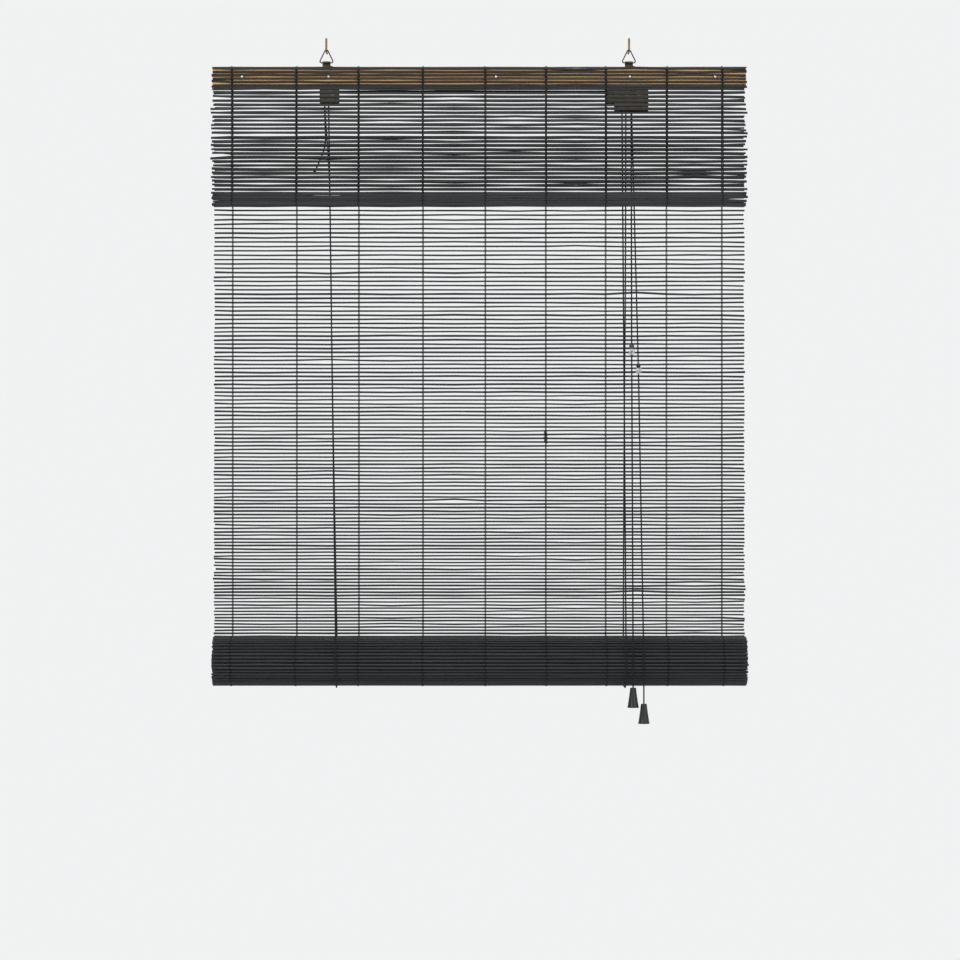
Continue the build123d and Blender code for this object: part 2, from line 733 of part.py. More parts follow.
# Tied ends: through the mat and the bracket to a knot, the left one with a loose tail
knot_y = plate_y - seat_gap - knot_length / 2
left_tied = cord_along(
    [
        (left_tie_x, back_cord_y, left_tie_z - tie_drop),
        (left_tie_x, back_cord_y, left_tie_z),
        (left_tie_x, knot_y, left_tie_z),
    ],
    (tie_bend_r,),
)
right_tied = cord_along(
    [
        (right_tie_x, back_cord_y, right_tie_z - tie_drop),
        (right_tie_x, back_cord_y, right_tie_z),
        (right_tie_x, knot_y, right_tie_z),
    ],
    (tie_bend_r,),
)
tail_end = (-182.5, -9.0, -134.6)
tail = cord_along(
    [
        (left_tie_x, knot_y, left_tie_z),
        (-171.0, -8.0, -80.0),
        (-170.0, -8.5, -104.0),
        (-176.0, -9.0, -121.0),
        tail_end,
    ],
    (20, 20, 20),
)
tied_ends = [
    left_tied + knot_at((left_tie_x, knot_y, left_tie_z), (0, 1, 0)) + tail + knot_at(tail_end, (-0.4, 0, -1)),
    right_tied + knot_at((right_tie_x, knot_y, right_tie_z), (0, 1, 0)),
]
save(Compound(children=tied_ends), "tied_ends")


def barrel(bottom, along, upper):
    """One half of a connector: a cup with a bore for the cord."""
    half_length = connector_length / 2 - seat_gap / 2
    way = 1 if upper else -1
    middle = bottom + along * (connector_length / 2 + way * seat_gap / 2)
    with BuildPart() as cup:
        with BuildSketch(Plane(origin=middle, z_dir=along * way)):
            RegularPolygon(connector_r, small_sides)
        extrude(amount=connector_straight)
        shoulder = middle + along * way * connector_straight
        rest = half_length - connector_straight
        add(frustum(shoulder, along * way, connector_r, connector_end_r, rest, small_sides))
        with BuildSketch(Plane(origin=middle, z_dir=along * way)):
            RegularPolygon(connector_r - connector_wall, small_sides)
        extrude(amount=connector_straight, mode=Mode.SUBTRACT)
        with BuildSketch(Plane(origin=middle, z_dir=along * way)):
            RegularPolygon(cord_r + cord_hole_gap, small_sides)
        extrude(amount=half_length, mode=Mode.SUBTRACT)
    return cup.part


def connector_knots(bottom, along):
    """Where the two cords' knots sit inside a connector."""
    middle = bottom + along * (connector_length / 2)
    away = along * (seat_gap + knot_length / 2 + 0.2)
    return middle + away, middle - away


def tassel(x, y, top_z):
    """A hollow cone with a bore for the cord."""
    slope = tassel_height - tassel_rim
    foot_z = top_z - tassel_height
    with BuildPart() as cone:
        add(frustum((x, y, foot_z + tassel_rim), (0, 0, 1), tassel_bottom_r, tassel_top_r, slope, wheel_sides))
        add(frustum((x, y, foot_z), (0, 0, 1), tassel_bottom_r - 0.3, tassel_bottom_r, tassel_rim, wheel_sides))
        hollow = tassel_height - tassel_cap
        hollow_r = tassel_bottom_r - tassel_wall
        add(frustum((x, y, foot_z), (0, 0, 1), hollow_r, tassel_inner_r, hollow, wheel_sides), mode=Mode.SUBTRACT)
        with BuildSketch(Plane(origin=(x, y, top_z), z_dir=(0, 0, -1))):
            RegularPolygon(cord_r + cord_hole_gap, small_sides)
        extrude(amount=tassel_cap + 1, mode=Mode.SUBTRACT)
    return cone.part


# Pulls: the right one in the back lane, the left one in the front lane
front_of_roll = roll_y - loop_r
for side, lane, low_z, x_at, end_x, top_z in (
    ("right", back_lane_y, connector_z[0] - connector_length, connector_x[0], tassel_x[0], tassel_top_z[0]),
    ("left", front_lane_y, connector_z[1] - connector_length, connector_x[1], tassel_x[1], tassel_top_z[1]),
):
    tangent_y, tangent_z, lean = roll_tangent(lane, sheave_z)
    corner_z = roll_z + loop_r * tan(radians(lean) / 2)
    share = (sheave_z - low_z) / (sheave_z - corner_z)
    start = Vector(pull_x, lane, sheave_z - end_gap)
    corner = Vector(end_x, front_of_roll, corner_z)
    bottom = Vector(x_at, lane + (front_of_roll - lane) * share, low_z)
    along = (start - bottom).normalized()
    upper_knot, lower_knot = connector_knots(bottom, along)
    top = bottom + along * connector_length
    knot_z = top_z - tassel_cap - seat_gap - knot_length / 2
    save(cord_along([start, top + along * end_gap]), f"{side}_pull_upper_cord")
    upper_stub = cord_along([top, upper_knot]) + knot_at(upper_knot, along)
    lower_path = [lower_knot, corner, Vector(end_x, front_of_roll, knot_z)]
    lower_cord = cord_along(lower_path, (loop_r,)) + knot_at(lower_knot, along)
    lower_cord = lower_cord + knot_at(Vector(end_x, front_of_roll, knot_z), (0, 0, 1))
    save(Compound(children=[upper_stub, lower_cord]), f"{side}_pull_lower_cord")
    halves = [barrel(bottom, along, True), barrel(bottom, along, False)]
    save(Compound(children=halves), f"{side}_connector")
    save(tassel(end_x, front_of_roll, top_z), f"{side}_tassel")
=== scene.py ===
import math
import random

import bmesh
import bpy
from bpy.props import FloatProperty, FloatVectorProperty, IntProperty, PointerProperty
from bpy.types import Operator, Panel, PropertyGroup
from mathutils import Matrix, Vector


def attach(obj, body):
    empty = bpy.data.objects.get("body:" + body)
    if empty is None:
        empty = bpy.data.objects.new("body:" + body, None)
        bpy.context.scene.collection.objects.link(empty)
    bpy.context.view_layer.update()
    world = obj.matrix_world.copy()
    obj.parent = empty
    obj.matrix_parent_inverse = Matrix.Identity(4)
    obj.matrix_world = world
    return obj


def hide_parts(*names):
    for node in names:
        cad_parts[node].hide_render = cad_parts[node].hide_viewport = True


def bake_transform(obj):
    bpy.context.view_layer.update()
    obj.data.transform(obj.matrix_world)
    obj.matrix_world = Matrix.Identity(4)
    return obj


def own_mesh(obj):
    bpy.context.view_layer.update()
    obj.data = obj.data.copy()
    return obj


bl_info = {
    "name": "Bamboo roll up blind",
    "version": (1, 0, 0),
    "blender": (4, 5, 0),
    "location": "3D View > Sidebar > Blind",
    "description": "Dresses a black bamboo roll up blind with woven reeds, cords and brass fittings",
    "category": "Object",
}

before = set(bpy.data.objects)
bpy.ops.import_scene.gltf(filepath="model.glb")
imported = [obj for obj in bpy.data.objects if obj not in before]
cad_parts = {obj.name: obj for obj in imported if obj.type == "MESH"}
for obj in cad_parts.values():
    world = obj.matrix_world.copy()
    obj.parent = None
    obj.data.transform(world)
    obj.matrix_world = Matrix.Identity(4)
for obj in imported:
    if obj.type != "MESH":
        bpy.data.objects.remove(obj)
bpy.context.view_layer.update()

# Places and sizes are in millimetres, in the frame of the part's source, where nothing else is said

# Warps, and the left and right ends of the reeds in each part of the mat
WARPS = (-274.7, -202.8, -133.2, -61.3, 8.6, 76.4, 143.5, 211.7, 273.8)
VALANCE_ENDS = (-296.8, 300.2)
MAT_ENDS = (-295.5, 298.9)
ROLL_ENDS = (-294.9, 299.3)

# Valance: reeds over the batten's top, on its face, on the leaning flap and packed at the flap's foot
VALANCE_Y = -16.7
TOP_REED_YS = (-6.9, -10.0, -13.3)
TOP_REED_Z = -18.3
FACE_TOP_Z = -19.75
FACE_PITCH = 3.72
FACE_REEDS = 6
FACE_FOOT_Z = -40.6
FOLD_Z = -38.35
FLAP_FOOT_Z = -173.8
FLAP_LEAN = 6.6
PACKED_PITCH = 1.95
PACKED_REEDS = 8
PACKED_REED_HALF = 0.85

# Hanging mat: one grid behind the valance, half a row lower from SKIP_Z down, then closer towards the roll
MAT_Y = -3.35
GRID = 4.4796
ROWS_ABOVE_FOLD = 3.5
SKIP_Z = -94.0
OPEN_PITCH = 5.1
PITCH_LOSS = 0.0034
MAT_FOOT_Z = -670.0

# The height that folds away as the mat is drawn up
LIFT_TRAVEL = 455.0

# Roll: a scroll whose outermost turn stays round, its angles in degrees
ROLL_Y = -30.0
ROLL_Z = -682.0
ROLL_RADIUS = 26.7
ROLL_PITCH = 2.11
ROLL_TURNS = 10
ROLL_REED_SPACING = 3.9
ROLL_START = 20.0
FIRST_REED_TURN = 1.6
ROUND_UNTIL = 290
EASES_OVER = 90

# Strays of the reeds: their share at a warp, how much further a bold one bows, and their spread
TIED_SHARE = 0.25
BOLD_BOW = 3.0
STRAY_SPREAD = 0.8
STRAY_LIMIT = 2
OUTWARD_STRAY = 0.000036  # metres

# Threads: how far they swing between the reeds and lie apart, and how much stouter the valance's are
VALANCE_SWING = 2.6
VALANCE_APART = 0.62
VALANCE_THREAD = 1.3
MAT_SWING = 2.5
ROLL_SWING = 2.3
THREADS_APART = 0.5
END_SWING = 0.35

# A loose tangle of thread on the sixth warp
TANGLE_X = WARPS[5]
TANGLE_POINTS = 34
TANGLE_Z = -425.0
TANGLE_TURN = 1.9

# Hooks and rings
HANGERS = (("left", -169.5), ("right", 169.5))
HOOK_WIRE = 1.15
HOOK_WALL_Y = 0.3
HOOK_FRONT_Y = -10.65
HOOK_BEND = 2.5
HOOK_BEND_STEPS = 8
HOOK_RISE = (9.0, 14.2, 14.6)
SHANK_PROFILE = [(0, 0), (0.92, 0), (0.92, 13.6), (0.5, 16.4), (0.12, 17.9), (0, 18)]
THREAD_RIB = ((0.8, 0, 1.6), (1.12, 0, 1.95), (0.8, 0, 2.3))
THREAD_PITCH = 1.05
THREAD_TURNS = 11
THREAD_STEPS = 16
RING_WIRE = 0.7
RING_Y = -6.2
RING_FOOT_Z = -12.4
RING_SLOPE = math.radians(26)
RING_TOP_RADIUS = 1.95
RING_TOP_STEPS = 12
RING_CORNER_RADIUS = 1.7
RING_CORNER_STEPS = 9

# Nails, wheels and the lanes of the two cords through them
NAIL_XS = (-263.5, -166.8, 20.6, 170.2, 265.5)
NAIL_Z = -29.05
NAIL_PROFILE = [
    (0, 18.45), (0.9, 18.42), (1.45, 18.1), (1.5, 17.8), (1.4, 17.65), (0.6, 17.65), (0.6, 5.2), (0, 4.5),
]
WHEEL_Z = -49.9
PULLEY_X = -161.8
ROLLER_X = 166.7
ROLLER_Y = -9.95
PULLEY_HALF_PROFILE = [(1.4, 2.2), (5.7, 2.2), (6.0, 2.0), (6.0, 1.8), (5.7, 1.6), (4.2, 0.9), (4.0, 0)]
ROLLER_HALF_PROFILE = [(1.4, 3.65), (3.7, 3.65), (4.0, 3.35)]
FRONT_LANE = -11.35
BACK_LANE = -8.55
CORD_WRAP = 5.2  # from a wheel's axis to the cord round it
PULLEY_CORD_X = PULLEY_X - CORD_WRAP
LOCK_IN_X = ROLLER_X - CORD_WRAP
LOCK_OUT_X = ROLLER_X + CORD_WRAP
CROWN_Z = WHEEL_Z + CORD_WRAP
RUN_TOP_Z = -50.0

# Cord loops under the roll, the back runs that rise from them and the holes in which they are tied
LOOP_RADIUS = 28.7
LOOP_FRONT_Y = ROLL_Y - LOOP_RADIUS
LOOP_BACK_Y = ROLL_Y + LOOP_RADIUS
LEFT_LOOP_X = -157.2
LEFT_LOOP_BACK_X = -157.6
RIGHT_LOOP_X = 164.6
RIGHT_LOOP_BACK_X = 163.4
BACK_RUN_FOOT_Z = -681.9
LEFT_TIE_X = -171.5
LEFT_TIE_Z = -54.2
RIGHT_TIE_X = 166.2
RIGHT_TIE_Z = -61.6
TIE_KNOT_Y = -7.6

# Pulls: each one's lane, the x and z of its connector's foot and of its bend over the roll, and its tassel
PULLS = {
    "left": (FRONT_LANE, (179.2, -361.8), (184.2, -680.92), -728.0),
    "right": (BACK_LANE, (171.7, -340.8), (172.3, -680.86), -710.2),
}
CONNECTOR_MIDDLE = 6.3
CONNECTOR_TOP = 12.7
KNOT_OFFSET = 2.4
TASSEL_KNOT_DROP = 9.3
STRAND_BOW = 2.1
STRAND_RADIUS = 0.88
HALF_CONNECTOR_PROFILE = [
    (1.35, 6.25), (2.1, 6.25), (2.7, 5.9), (3.15, 5.2), (3.45, 4.2), (3.5, 3.0), (3.5, 0.6),
    (3.35, 0.35), (3.5, 0.1), (3.5, 0.05), (2.7, 0.05), (2.7, 4.3), (2.3, 5.1), (1.35, 5.4),
]
TASSEL_PROFILE = [
    (1.35, 0), (2.7, 0), (3.2, -0.25), (3.4, -0.9), (3.55, -2.6), (4.05, -6.5), (4.75, -11.5),
    (5.5, -16.5), (6.1, -20.2), (6.35, -21.2), (6.4, -21.8), (6.2, -22.2), (5.3, -22.2), (5.15, -21.6),
    (4.4, -15.0), (3.05, -7.4), (1.35, -7.0),
]

# A knot's strand, at size 1
KNOT_POINTS = 18
KNOT_REACH = 0.42
KNOT_STRAND = 0.75

# Stage, in metres and watts. The floor lies below the tassels when the blind is drawn up
CAMERA_PLACE = (0.0026, -4.7034, -0.48)
CAMERA_LENS = 157.15
CAMERA_SENSOR = 36.0
FLOOR_Z = -1.75
FLOOR_HALF = 6.0
LAMP_TARGET = Vector((0, 0, -0.4))
LAMPS = (
    ("key_lamp", (-1.6, -2.6, 1.1), 1.8, 44.0),
    ("fill_lamp", (2.0, -2.4, 0.2), 2.2, 22.0),
    ("back_lamp", (0.4, 1.9, 1.3), 1.2, 20.0),
)
STUDIO_WHITE = (0.875, 0.885, 0.89, 1.0)
STUDIO_LIGHT = (0.9, 0.93, 1.0, 1.0)
STUDIO_LIGHT_STRENGTH = 0.5
FLOOR_WHITE = (0.932, 0.943, 0.948, 1.0)
FLOOR_PAINT = (0.8, 0.8, 0.8, 1.0)
FLOOR_GLOW_SHARE = 0.9
SEEN_RAYS = ("Is Camera Ray", "Is Glossy Ray", "Is Transmission Ray")

# Sockets of a Mix node that is set to colours
MIX_SHARE = 0
MIX_FIRST = 6
MIX_SECOND = 7
MIX_RESULT = 2


def m(*values):
    """A place given in millimetres, in metres."""
    return Vector(values) * 0.001


class BlindSizes(PropertyGroup):
    """Sizes that a user may change."""

    reed_height: FloatProperty(
        name="Reed height",
        description="Height of a reed in the mat",
        default=0.0022,
        min=0.0008,
        unit="LENGTH",
    )
    reed_depth: FloatProperty(
        name="Reed depth",
        description="Depth of a reed from front to back",
        default=0.0017,
        min=0.0008,
        unit="LENGTH",
    )
    reed_bow: FloatProperty(
        name="Reed bow",
        description="How far a reed strays between two warps",
        default=0.0003,
        min=0,
        unit="LENGTH",
    )
    end_stray: FloatProperty(
        name="End stray",
        description="How far a reed's free end strays",
        default=0.0004,
        min=0,
        unit="LENGTH",
    )
    thread_radius: FloatProperty(
        name="Thread radius",
        description="Radius of one warp thread",
        default=0.0004,
        min=0.0001,
        unit="LENGTH",
    )
    cord_radius: FloatProperty(
        name="Cord radius",
        description="Radius of the braided cords",
        default=0.00083,
        min=0.0004,
        unit="LENGTH",
    )
    seed: IntProperty(name="Seed", description="Start of the reeds' chance shapes", default=11, min=0)


class BlindColours(PropertyGroup):
    """Colours that a user may change."""

    bamboo: FloatVectorProperty(
        name="Bamboo",
        description="Stained reeds",
        subtype="COLOR",
        default=(0.031, 0.0325, 0.0335),
        min=0,
        max=1,
    )
    bamboo_worn: FloatVectorProperty(
        name="Worn bamboo",
        description="Stain rubbed thin",
        subtype="COLOR",
        default=(0.07, 0.077, 0.075),
        min=0,
        max=1,
    )
    wood: FloatVectorProperty(
        name="Batten",
        description="Bare wood of the batten",
        subtype="COLOR",
        default=(0.98, 0.55, 0.175),
        min=0,
        max=1,
    )
    bracket_brass: FloatVectorProperty(
        name="Bracket brass",
        description="Darkened brass of the brackets",
        subtype="COLOR",
        default=(0.105, 0.087, 0.056),
        min=0,
        max=1,
    )
    hook_brass: FloatVectorProperty(
        name="Hook brass",
        description="Brass of the screw hooks",
        subtype="COLOR",
        default=(0.27, 0.18, 0.09),
        min=0,
        max=1,
    )
    lock_brass: FloatVectorProperty(
        name="Lock brass",
        description="Brass of the wheels and the pawl",
        subtype="COLOR",
        default=(0.3, 0.22, 0.11),
        min=0,
        max=1,
    )
    copper: FloatVectorProperty(
        name="Copper",
        description="Wire of the hanging rings",
        subtype="COLOR",
        default=(0.09, 0.05, 0.03),
        min=0,
        max=1,
    )
    nail_steel: FloatVectorProperty(
        name="Nail steel",
        description="Bright steel of the nails",
        subtype="COLOR",
        default=(0.6, 0.6, 0.59),
        min=0,
        max=1,
    )
    pin_steel: FloatVectorProperty(
        name="Pin steel",
        description="Dull steel of the pins",
        subtype="COLOR",
        default=(0.12, 0.115, 0.1),
        min=0,
        max=1,
    )
    cord: FloatVectorProperty(
        name="Cord",
        description="Braided cords",
        subtype="COLOR",
        default=(0.008, 0.008, 0.009),
        min=0,
        max=1,
    )


class ShaderValue:
    """A value in a node tree that can be used in sums and products."""

    def __init__(self, nodes, socket):
        self.nodes = nodes
        self.socket = socket

    def maths(self, operation, *values):
        node = self.nodes.node("ShaderNodeMath", {"operation": operation}, dict(enumerate(values)))
        return ShaderValue(self.nodes, node.outputs[0])

    def __add__(self, other):
        return self.maths("ADD", self, other)

    def __radd__(self, other):
        return self.maths("ADD", other, self)

    def __sub__(self, other):
        return self.maths("SUBTRACT", self, other)

    def __rsub__(self, other):
        return self.maths("SUBTRACT", other, self)

    def __mul__(self, other):
        return self.maths("MULTIPLY", self, other)

    def __rmul__(self, other):
        return self.maths("MULTIPLY", other, self)

    def sine(self):
        return self.maths("SINE", self)

    def clamped(self, low, high):
        return self.maths("MAXIMUM", self.maths("MINIMUM", self, high), low)


class Nodes:
    """A node tree, with short ways to add to it."""

    def __init__(self, tree):
        self.tree = tree

    def node(self, kind, settings, inputs):
        """A new node, its settings first and then the values or links of its sockets."""
        made = self.tree.nodes.new(kind)
        for key, value in settings.items():
            setattr(made, key, value)
        for key, value in inputs.items():
            self.feed(made.inputs[key], value)
        return made

    def feed(self, socket, value):
        """Links a socket to a value that varies, or sets it to one that doesn't."""
        if isinstance(value, ShaderValue):
            value = value.socket
        if isinstance(value, bpy.types.NodeSocket):
            self.tree.links.new(value, socket)
        else:
            socket.default_value = value

    def seen(self):
        """1 for rays that show a surface to the camera, and 0 for those that only carry light."""
        rays = self.node("ShaderNodeLightPath", {}, {}).outputs
        return sum((ShaderValue(self, rays[ray]) for ray in SEEN_RAYS), 0.0).clamped(0.0, 1.0)


class Finish(Nodes):
    """One material and its nodes."""

    def __init__(self, name):
        self.material = bpy.data.materials.new(name)
        self.material.use_nodes = True
        super().__init__(self.material.node_tree)
        self.shader = self.tree.nodes["Principled BSDF"]

    def noise(self, scale, detail=3.0, roughness=0.5):
        """Noise over the piece, its scale along each axis in grains per metre."""
        place = self.node("ShaderNodeTexCoord", {}, {}).outputs["Object"]
        mapping = self.node("ShaderNodeMapping", {}, {"Vector": place, "Scale": scale})
        inputs = {"Vector": mapping.outputs[0], "Scale": 1.0, "Detail": detail, "Roughness": roughness}
        return ShaderValue(self, self.node("ShaderNodeTexNoise", {}, inputs).outputs[0])

    def blended(self, share, first, second):
        """A colour between two others."""
        inputs = {MIX_SHARE: share, MIX_FIRST: first, MIX_SECOND: second}
        return self.node("ShaderNodeMix", {"data_type": "RGBA"}, inputs).outputs[MIX_RESULT]

    def bump(self, height, strength, distance):
        """Small relief, its distance in metres."""
        inputs = {"Height": height, "Strength": strength, "Distance": distance}
        self.set(Normal=self.node("ShaderNodeBump", {}, inputs).outputs[0])

    def set(self, **values):
        """Feeds the shader's sockets, named with _ for each space."""
        for key, value in values.items():
            self.feed(self.shader.inputs[key.replace("_", " ")], value)


def opaque(colour, factor=1.0):
    """A colour with full alpha, made lighter or darker by a factor."""
    return (colour[0] * factor, colour[1] * factor, colour[2] * factor, 1.0)


def finish_of(make):
    """The material that a function makes, made once. The plain CAD materials lack its name's ending."""
    name = make.__name__ + "_finish"
    return bpy.data.materials.get(name) or make(name)


def stained_bamboo(name):
    """Split bamboo stained black: fibres along the reed, each reed its own tone, worn crests."""
    colours = bpy.context.scene.blind_colours
    finish = Finish(name)
    tone = finish.noise((2.0, 420.0, 420.0), 1.0)
    fibres = finish.noise((40.0, 1600.0, 1600.0), 4.0, 0.6)
    patches = finish.noise((14.0, 90.0, 90.0), 2.0)
    worn = ((tone - 0.42) * 1.6 + (fibres - 0.5) * 0.9 + (patches - 0.5) * 0.5).clamped(0.0, 1.0)
    finish.set(
        Base_Color=finish.blended(worn, opaque(colours.bamboo), opaque(colours.bamboo_worn)),
        Roughness=(fibres * 0.3 + 0.42).clamped(0.3, 0.8),
        Specular_IOR_Level=0.2,
    )
    finish.bump(fibres, 0.25, 0.0002)
    return finish.material


def batten_wood(name):
    """Bare softwood: long grain along the batten, a few darker streaks, slightly rough."""
    colours = bpy.context.scene.blind_colours
    finish = Finish(name)
    grain = finish.noise((9.0, 420.0, 420.0), 5.0, 0.62)
    streaks = finish.noise((3.0, 150.0, 150.0), 2.0)
    pores = finish.noise((120.0, 2400.0, 2400.0), 2.0)
    share = ((grain - 0.35) * 1.5 + (streaks - 0.5) * 1.2).clamped(0.0, 1.0)
    finish.set(
        Base_Color=finish.blended(share, opaque(colours.wood, 0.8), opaque(colours.wood)),
        Roughness=pores * 0.25 + 0.5,
        Specular_IOR_Level=0.25,
    )
    finish.bump(grain * 0.6 + pores * 0.4, 0.35, 0.0002)
    return finish.material


def tarnished_metal(name, colour, tarnish, roughness):
    """Plated sheet or wire: soft patches that are darker by the tarnish, and fine drawn lines."""
    finish = Finish(name)
    patches = finish.noise((160.0, 160.0, 160.0), 4.0, 0.6)
    lines = finish.noise((900.0, 900.0, 90.0), 3.0)
    share = ((patches - 0.32) * 2.2).clamped(0.0, 1.0)
    finish.set(
        Base_Color=finish.blended(share, opaque(colour, tarnish), opaque(colour)),
        Roughness=(patches * 0.22 + lines * 0.12 + roughness - 0.15).clamped(0.1, 0.8),
        Metallic=1.0,
    )
    finish.bump(lines * 0.5 + patches * 0.5, 0.25, 0.00015)
    return finish.material


def dark_brass(name):
    """The darkened brass of the stamped brackets."""
    return tarnished_metal(name, bpy.context.scene.blind_colours.bracket_brass, 0.45, 0.38)


def hook_brass(name):
    """The yellower brass of the screw hooks."""
    return tarnished_metal(name, bpy.context.scene.blind_colours.hook_brass, 0.45, 0.34)


def lock_brass(name):
    """The bright brass of the wheels and the pawl."""
    return tarnished_metal(name, bpy.context.scene.blind_colours.lock_brass, 0.6, 0.33)


def copper_wire(name):
    """The coppered wire of the hanging rings."""
    return tarnished_metal(name, bpy.context.scene.blind_colours.copper, 0.7, 0.28)


def steel(name):
    """The bright steel of the nails."""
    return tarnished_metal(name, bpy.context.scene.blind_colours.nail_steel, 0.7, 0.3)


def dull_steel(name):
    """The dull steel of the pins."""
    return tarnished_metal(name, bpy.context.scene.blind_colours.pin_steel, 0.6, 0.42)


def braided_cord(name):
    """Braided black cord: strands that cross over and under, worked out on the cord's own map, with painted
    shade in the grooves between the strands and painted light on their ridges.
    """
    strands_round = 4
    crossings_per_diameter = 1.1
    colours = bpy.context.scene.blind_colours
    finish = Finish(name)
    cord_map = finish.node("ShaderNodeUVMap", {"uv_map": "UVMap"}, {})
    parts = finish.node("ShaderNodeSeparateXYZ", {}, {0: cord_map.outputs[0]})
    around = ShaderValue(finish, parts.outputs[1]) * (math.tau * strands_round)
    along = ShaderValue(finish, parts.outputs[0]) * (math.tau * crossings_per_diameter)
    braid_relief_and_groove_shade = (along + around).sine() * (along - around).sine()
    fuzz = finish.noise((5000.0, 5000.0, 5000.0), 2.0)
    # Painted shade: the colour follows the braid's relief, darker in the grooves between strands and
    # lighter on their ridges; the fuzz adds the fibres' real tone
    share = (braid_relief_and_groove_shade * 0.35 + fuzz * 0.5 + 0.15).clamped(0.0, 1.0)
    finish.set(
        Base_Color=finish.blended(share, opaque(colours.cord), opaque(colours.cord, 4.0)),
        Roughness=0.75 - braid_relief_and_groove_shade * 0.1,
        Specular_IOR_Level=0.2,
    )
    finish.bump(braid_relief_and_groove_shade * 0.8 + fuzz * 0.2, 0.7, 0.0003)
    return finish.material


def warp_thread(name):
    """Twisted black cotton of the warps."""
    dark = opaque((0.006, 0.006, 0.006))
    pale = opaque((0.02, 0.02, 0.02))
    finish = Finish(name)
    fuzz = finish.noise((3200.0, 3200.0, 1800.0), 3.0)
    finish.set(Base_Color=finish.blended(fuzz, dark, pale), Roughness=0.85, Specular_IOR_Level=0.15)
    finish.bump(fuzz, 0.5, 0.0001)
    return finish.material


def moulded_plastic(name, cloud, body):
    """Clear moulded plastic with rounded glints, as milky as its cloud and body make it."""
    shade = opaque((0.62, 0.64, 0.64))
    light = opaque((0.9, 0.91, 0.91))
    finish = Finish(name)
    flow = finish.noise((300.0, 300.0, 300.0), 2.0)
    finish.set(
        Base_Color=finish.blended(flow, shade, light),
        Roughness=flow * 0.1 + 0.1,
        Alpha=((flow - 0.5) * cloud + body).clamped(0.015, 0.8),
        Coat_Weight=0.6,
    )
    return finish.material


def clear_plastic(name):
    """The nearly clear plastic of a connector's upper half."""
    return moulded_plastic(name, 0.4, 0.025)


def milky_plastic(name):
    """The cloudy plastic of a connector's lower half."""
    return moulded_plastic(name, 2.2, 0.3)


def gloss_black(name):
    """Glossy black turned plastic with faint scuffs."""
    dark = opaque((0.006, 0.006, 0.007))
    pale = opaque((0.02, 0.02, 0.021))
    finish = Finish(name)
    scuffs = finish.noise((700.0, 700.0, 250.0), 4.0, 0.6)
    finish.set(
        Base_Color=finish.blended(scuffs, dark, pale),
        Roughness=scuffs * 0.2 + 0.16,
        Specular_IOR_Level=0.35,
    )
    finish.bump(scuffs, 0.06, 0.0001)
    return finish.material


def settle(name, form, body, material, nodes=()):
    """A finished piece from a bmesh or mesh: shaded, with its material, riding on its body."""
    mesh = form
    if isinstance(form, bmesh.types.BMesh):
        mesh = bpy.data.meshes.new(name)
        form.to_mesh(mesh)
        form.free()
    mesh.name = name
    for polygon in mesh.polygons:
        polygon.use_smooth = True
    mesh.materials.clear()
    mesh.materials.append(material)
    piece = bpy.data.objects.new(name, mesh)
    bpy.context.scene.collection.objects.link(piece)
    if body:
        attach(piece, body)
    if nodes:
        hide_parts(*nodes)
    return piece


def dress(node, material):
    """A better material on a CAD node that is shown as it is."""
    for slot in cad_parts[node].material_slots:
        slot.link = "OBJECT"
        slot.material = material


def turn_from_z(along):
    """The turn that takes the Z axis to a direction."""
    return Vector((0, 0, 1)).rotation_difference(Vector(along))


def spun(profile, steps, place, along=(0, 0, 1)):
    """A closed profile of (radius, height) pairs, spun round an axis through a place."""
    form = bmesh.new()
    verts = [form.verts.new(m(radius, 0, height)) for radius, height in profile]
    edges = [form.edges.new((verts[i], verts[(i + 1) % len(verts)])) for i in range(len(verts))]
    outline = verts + edges
    bmesh.ops.spin(
        form, geom=outline, cent=(0, 0, 0), axis=(0, 0, 1), angle=math.tau, steps=steps, use_merge=True
    )
    bmesh.ops.remove_doubles(form, verts=form.verts, dist=1e-7)
    bmesh.ops.recalc_face_normals(form, faces=form.faces)
    matrix = Matrix.Translation(m(*place)) @ turn_from_z(along).to_matrix().to_4x4()
    bmesh.ops.transform(form, matrix=matrix, verts=form.verts)
    return form


def mirrored(half):
    """A whole profile from its upper half, which is listed from the bore outwards and down."""
    lower = [(radius, -height) for radius, height in half]
    return lower + [(radius, height) for radius, height in reversed(half) if height > 0]


def form_of(mesh):
    """A bmesh with the shape of a mesh, in place of the mesh."""
    form = bmesh.new()
    form.from_mesh(mesh)
    bpy.data.meshes.remove(mesh)
    return form


def joined(forms):
    """Several bmeshes in one."""
    whole = bmesh.new()
    for form in forms:
        mesh = bpy.data.meshes.new("joined_part")
        form.to_mesh(mesh)
        form.free()
        whole.from_mesh(mesh)
        bpy.data.meshes.remove(mesh)
    return whole


def mesh_of_curve(holder):
    """The mesh that a curve's object shows now."""
    bpy.context.view_layer.update()
    return bpy.data.meshes.new_from_object(holder.evaluated_get(bpy.context.evaluated_depsgraph_get()))


def strands(lines, radius, kind="NURBS", resolution=4, sides=2, cyclic=False):
    """Round strands along lines of points, all in metres: their mesh and the path in their middle."""
    curve = bpy.data.curves.new("strands", "CURVE")
    curve.dimensions = "3D"
    curve.resolution_u = resolution
    for line in lines:
        spline = curve.splines.new(kind)
        spline.points.add(len(line) - 1)
        for point, place in zip(spline.points, line):
            point.co = (*place, 1.0)
        if kind == "NURBS":
            spline.order_u = 3
            spline.use_endpoint_u = not cyclic
        spline.use_cyclic_u = cyclic
    holder = bpy.data.objects.new("strands", curve)
    bpy.context.scene.collection.objects.link(holder)
    thin = mesh_of_curve(holder)
    path = [tuple(vert.co) for vert in thin.vertices]
    curve.bevel_depth = radius
    curve.bevel_resolution = sides
    curve.use_fill_caps = not cyclic
    mesh = mesh_of_curve(holder)
    bpy.data.meshes.remove(thin)
    bpy.data.objects.remove(holder)
    bpy.data.curves.remove(curve)
    return mesh, path


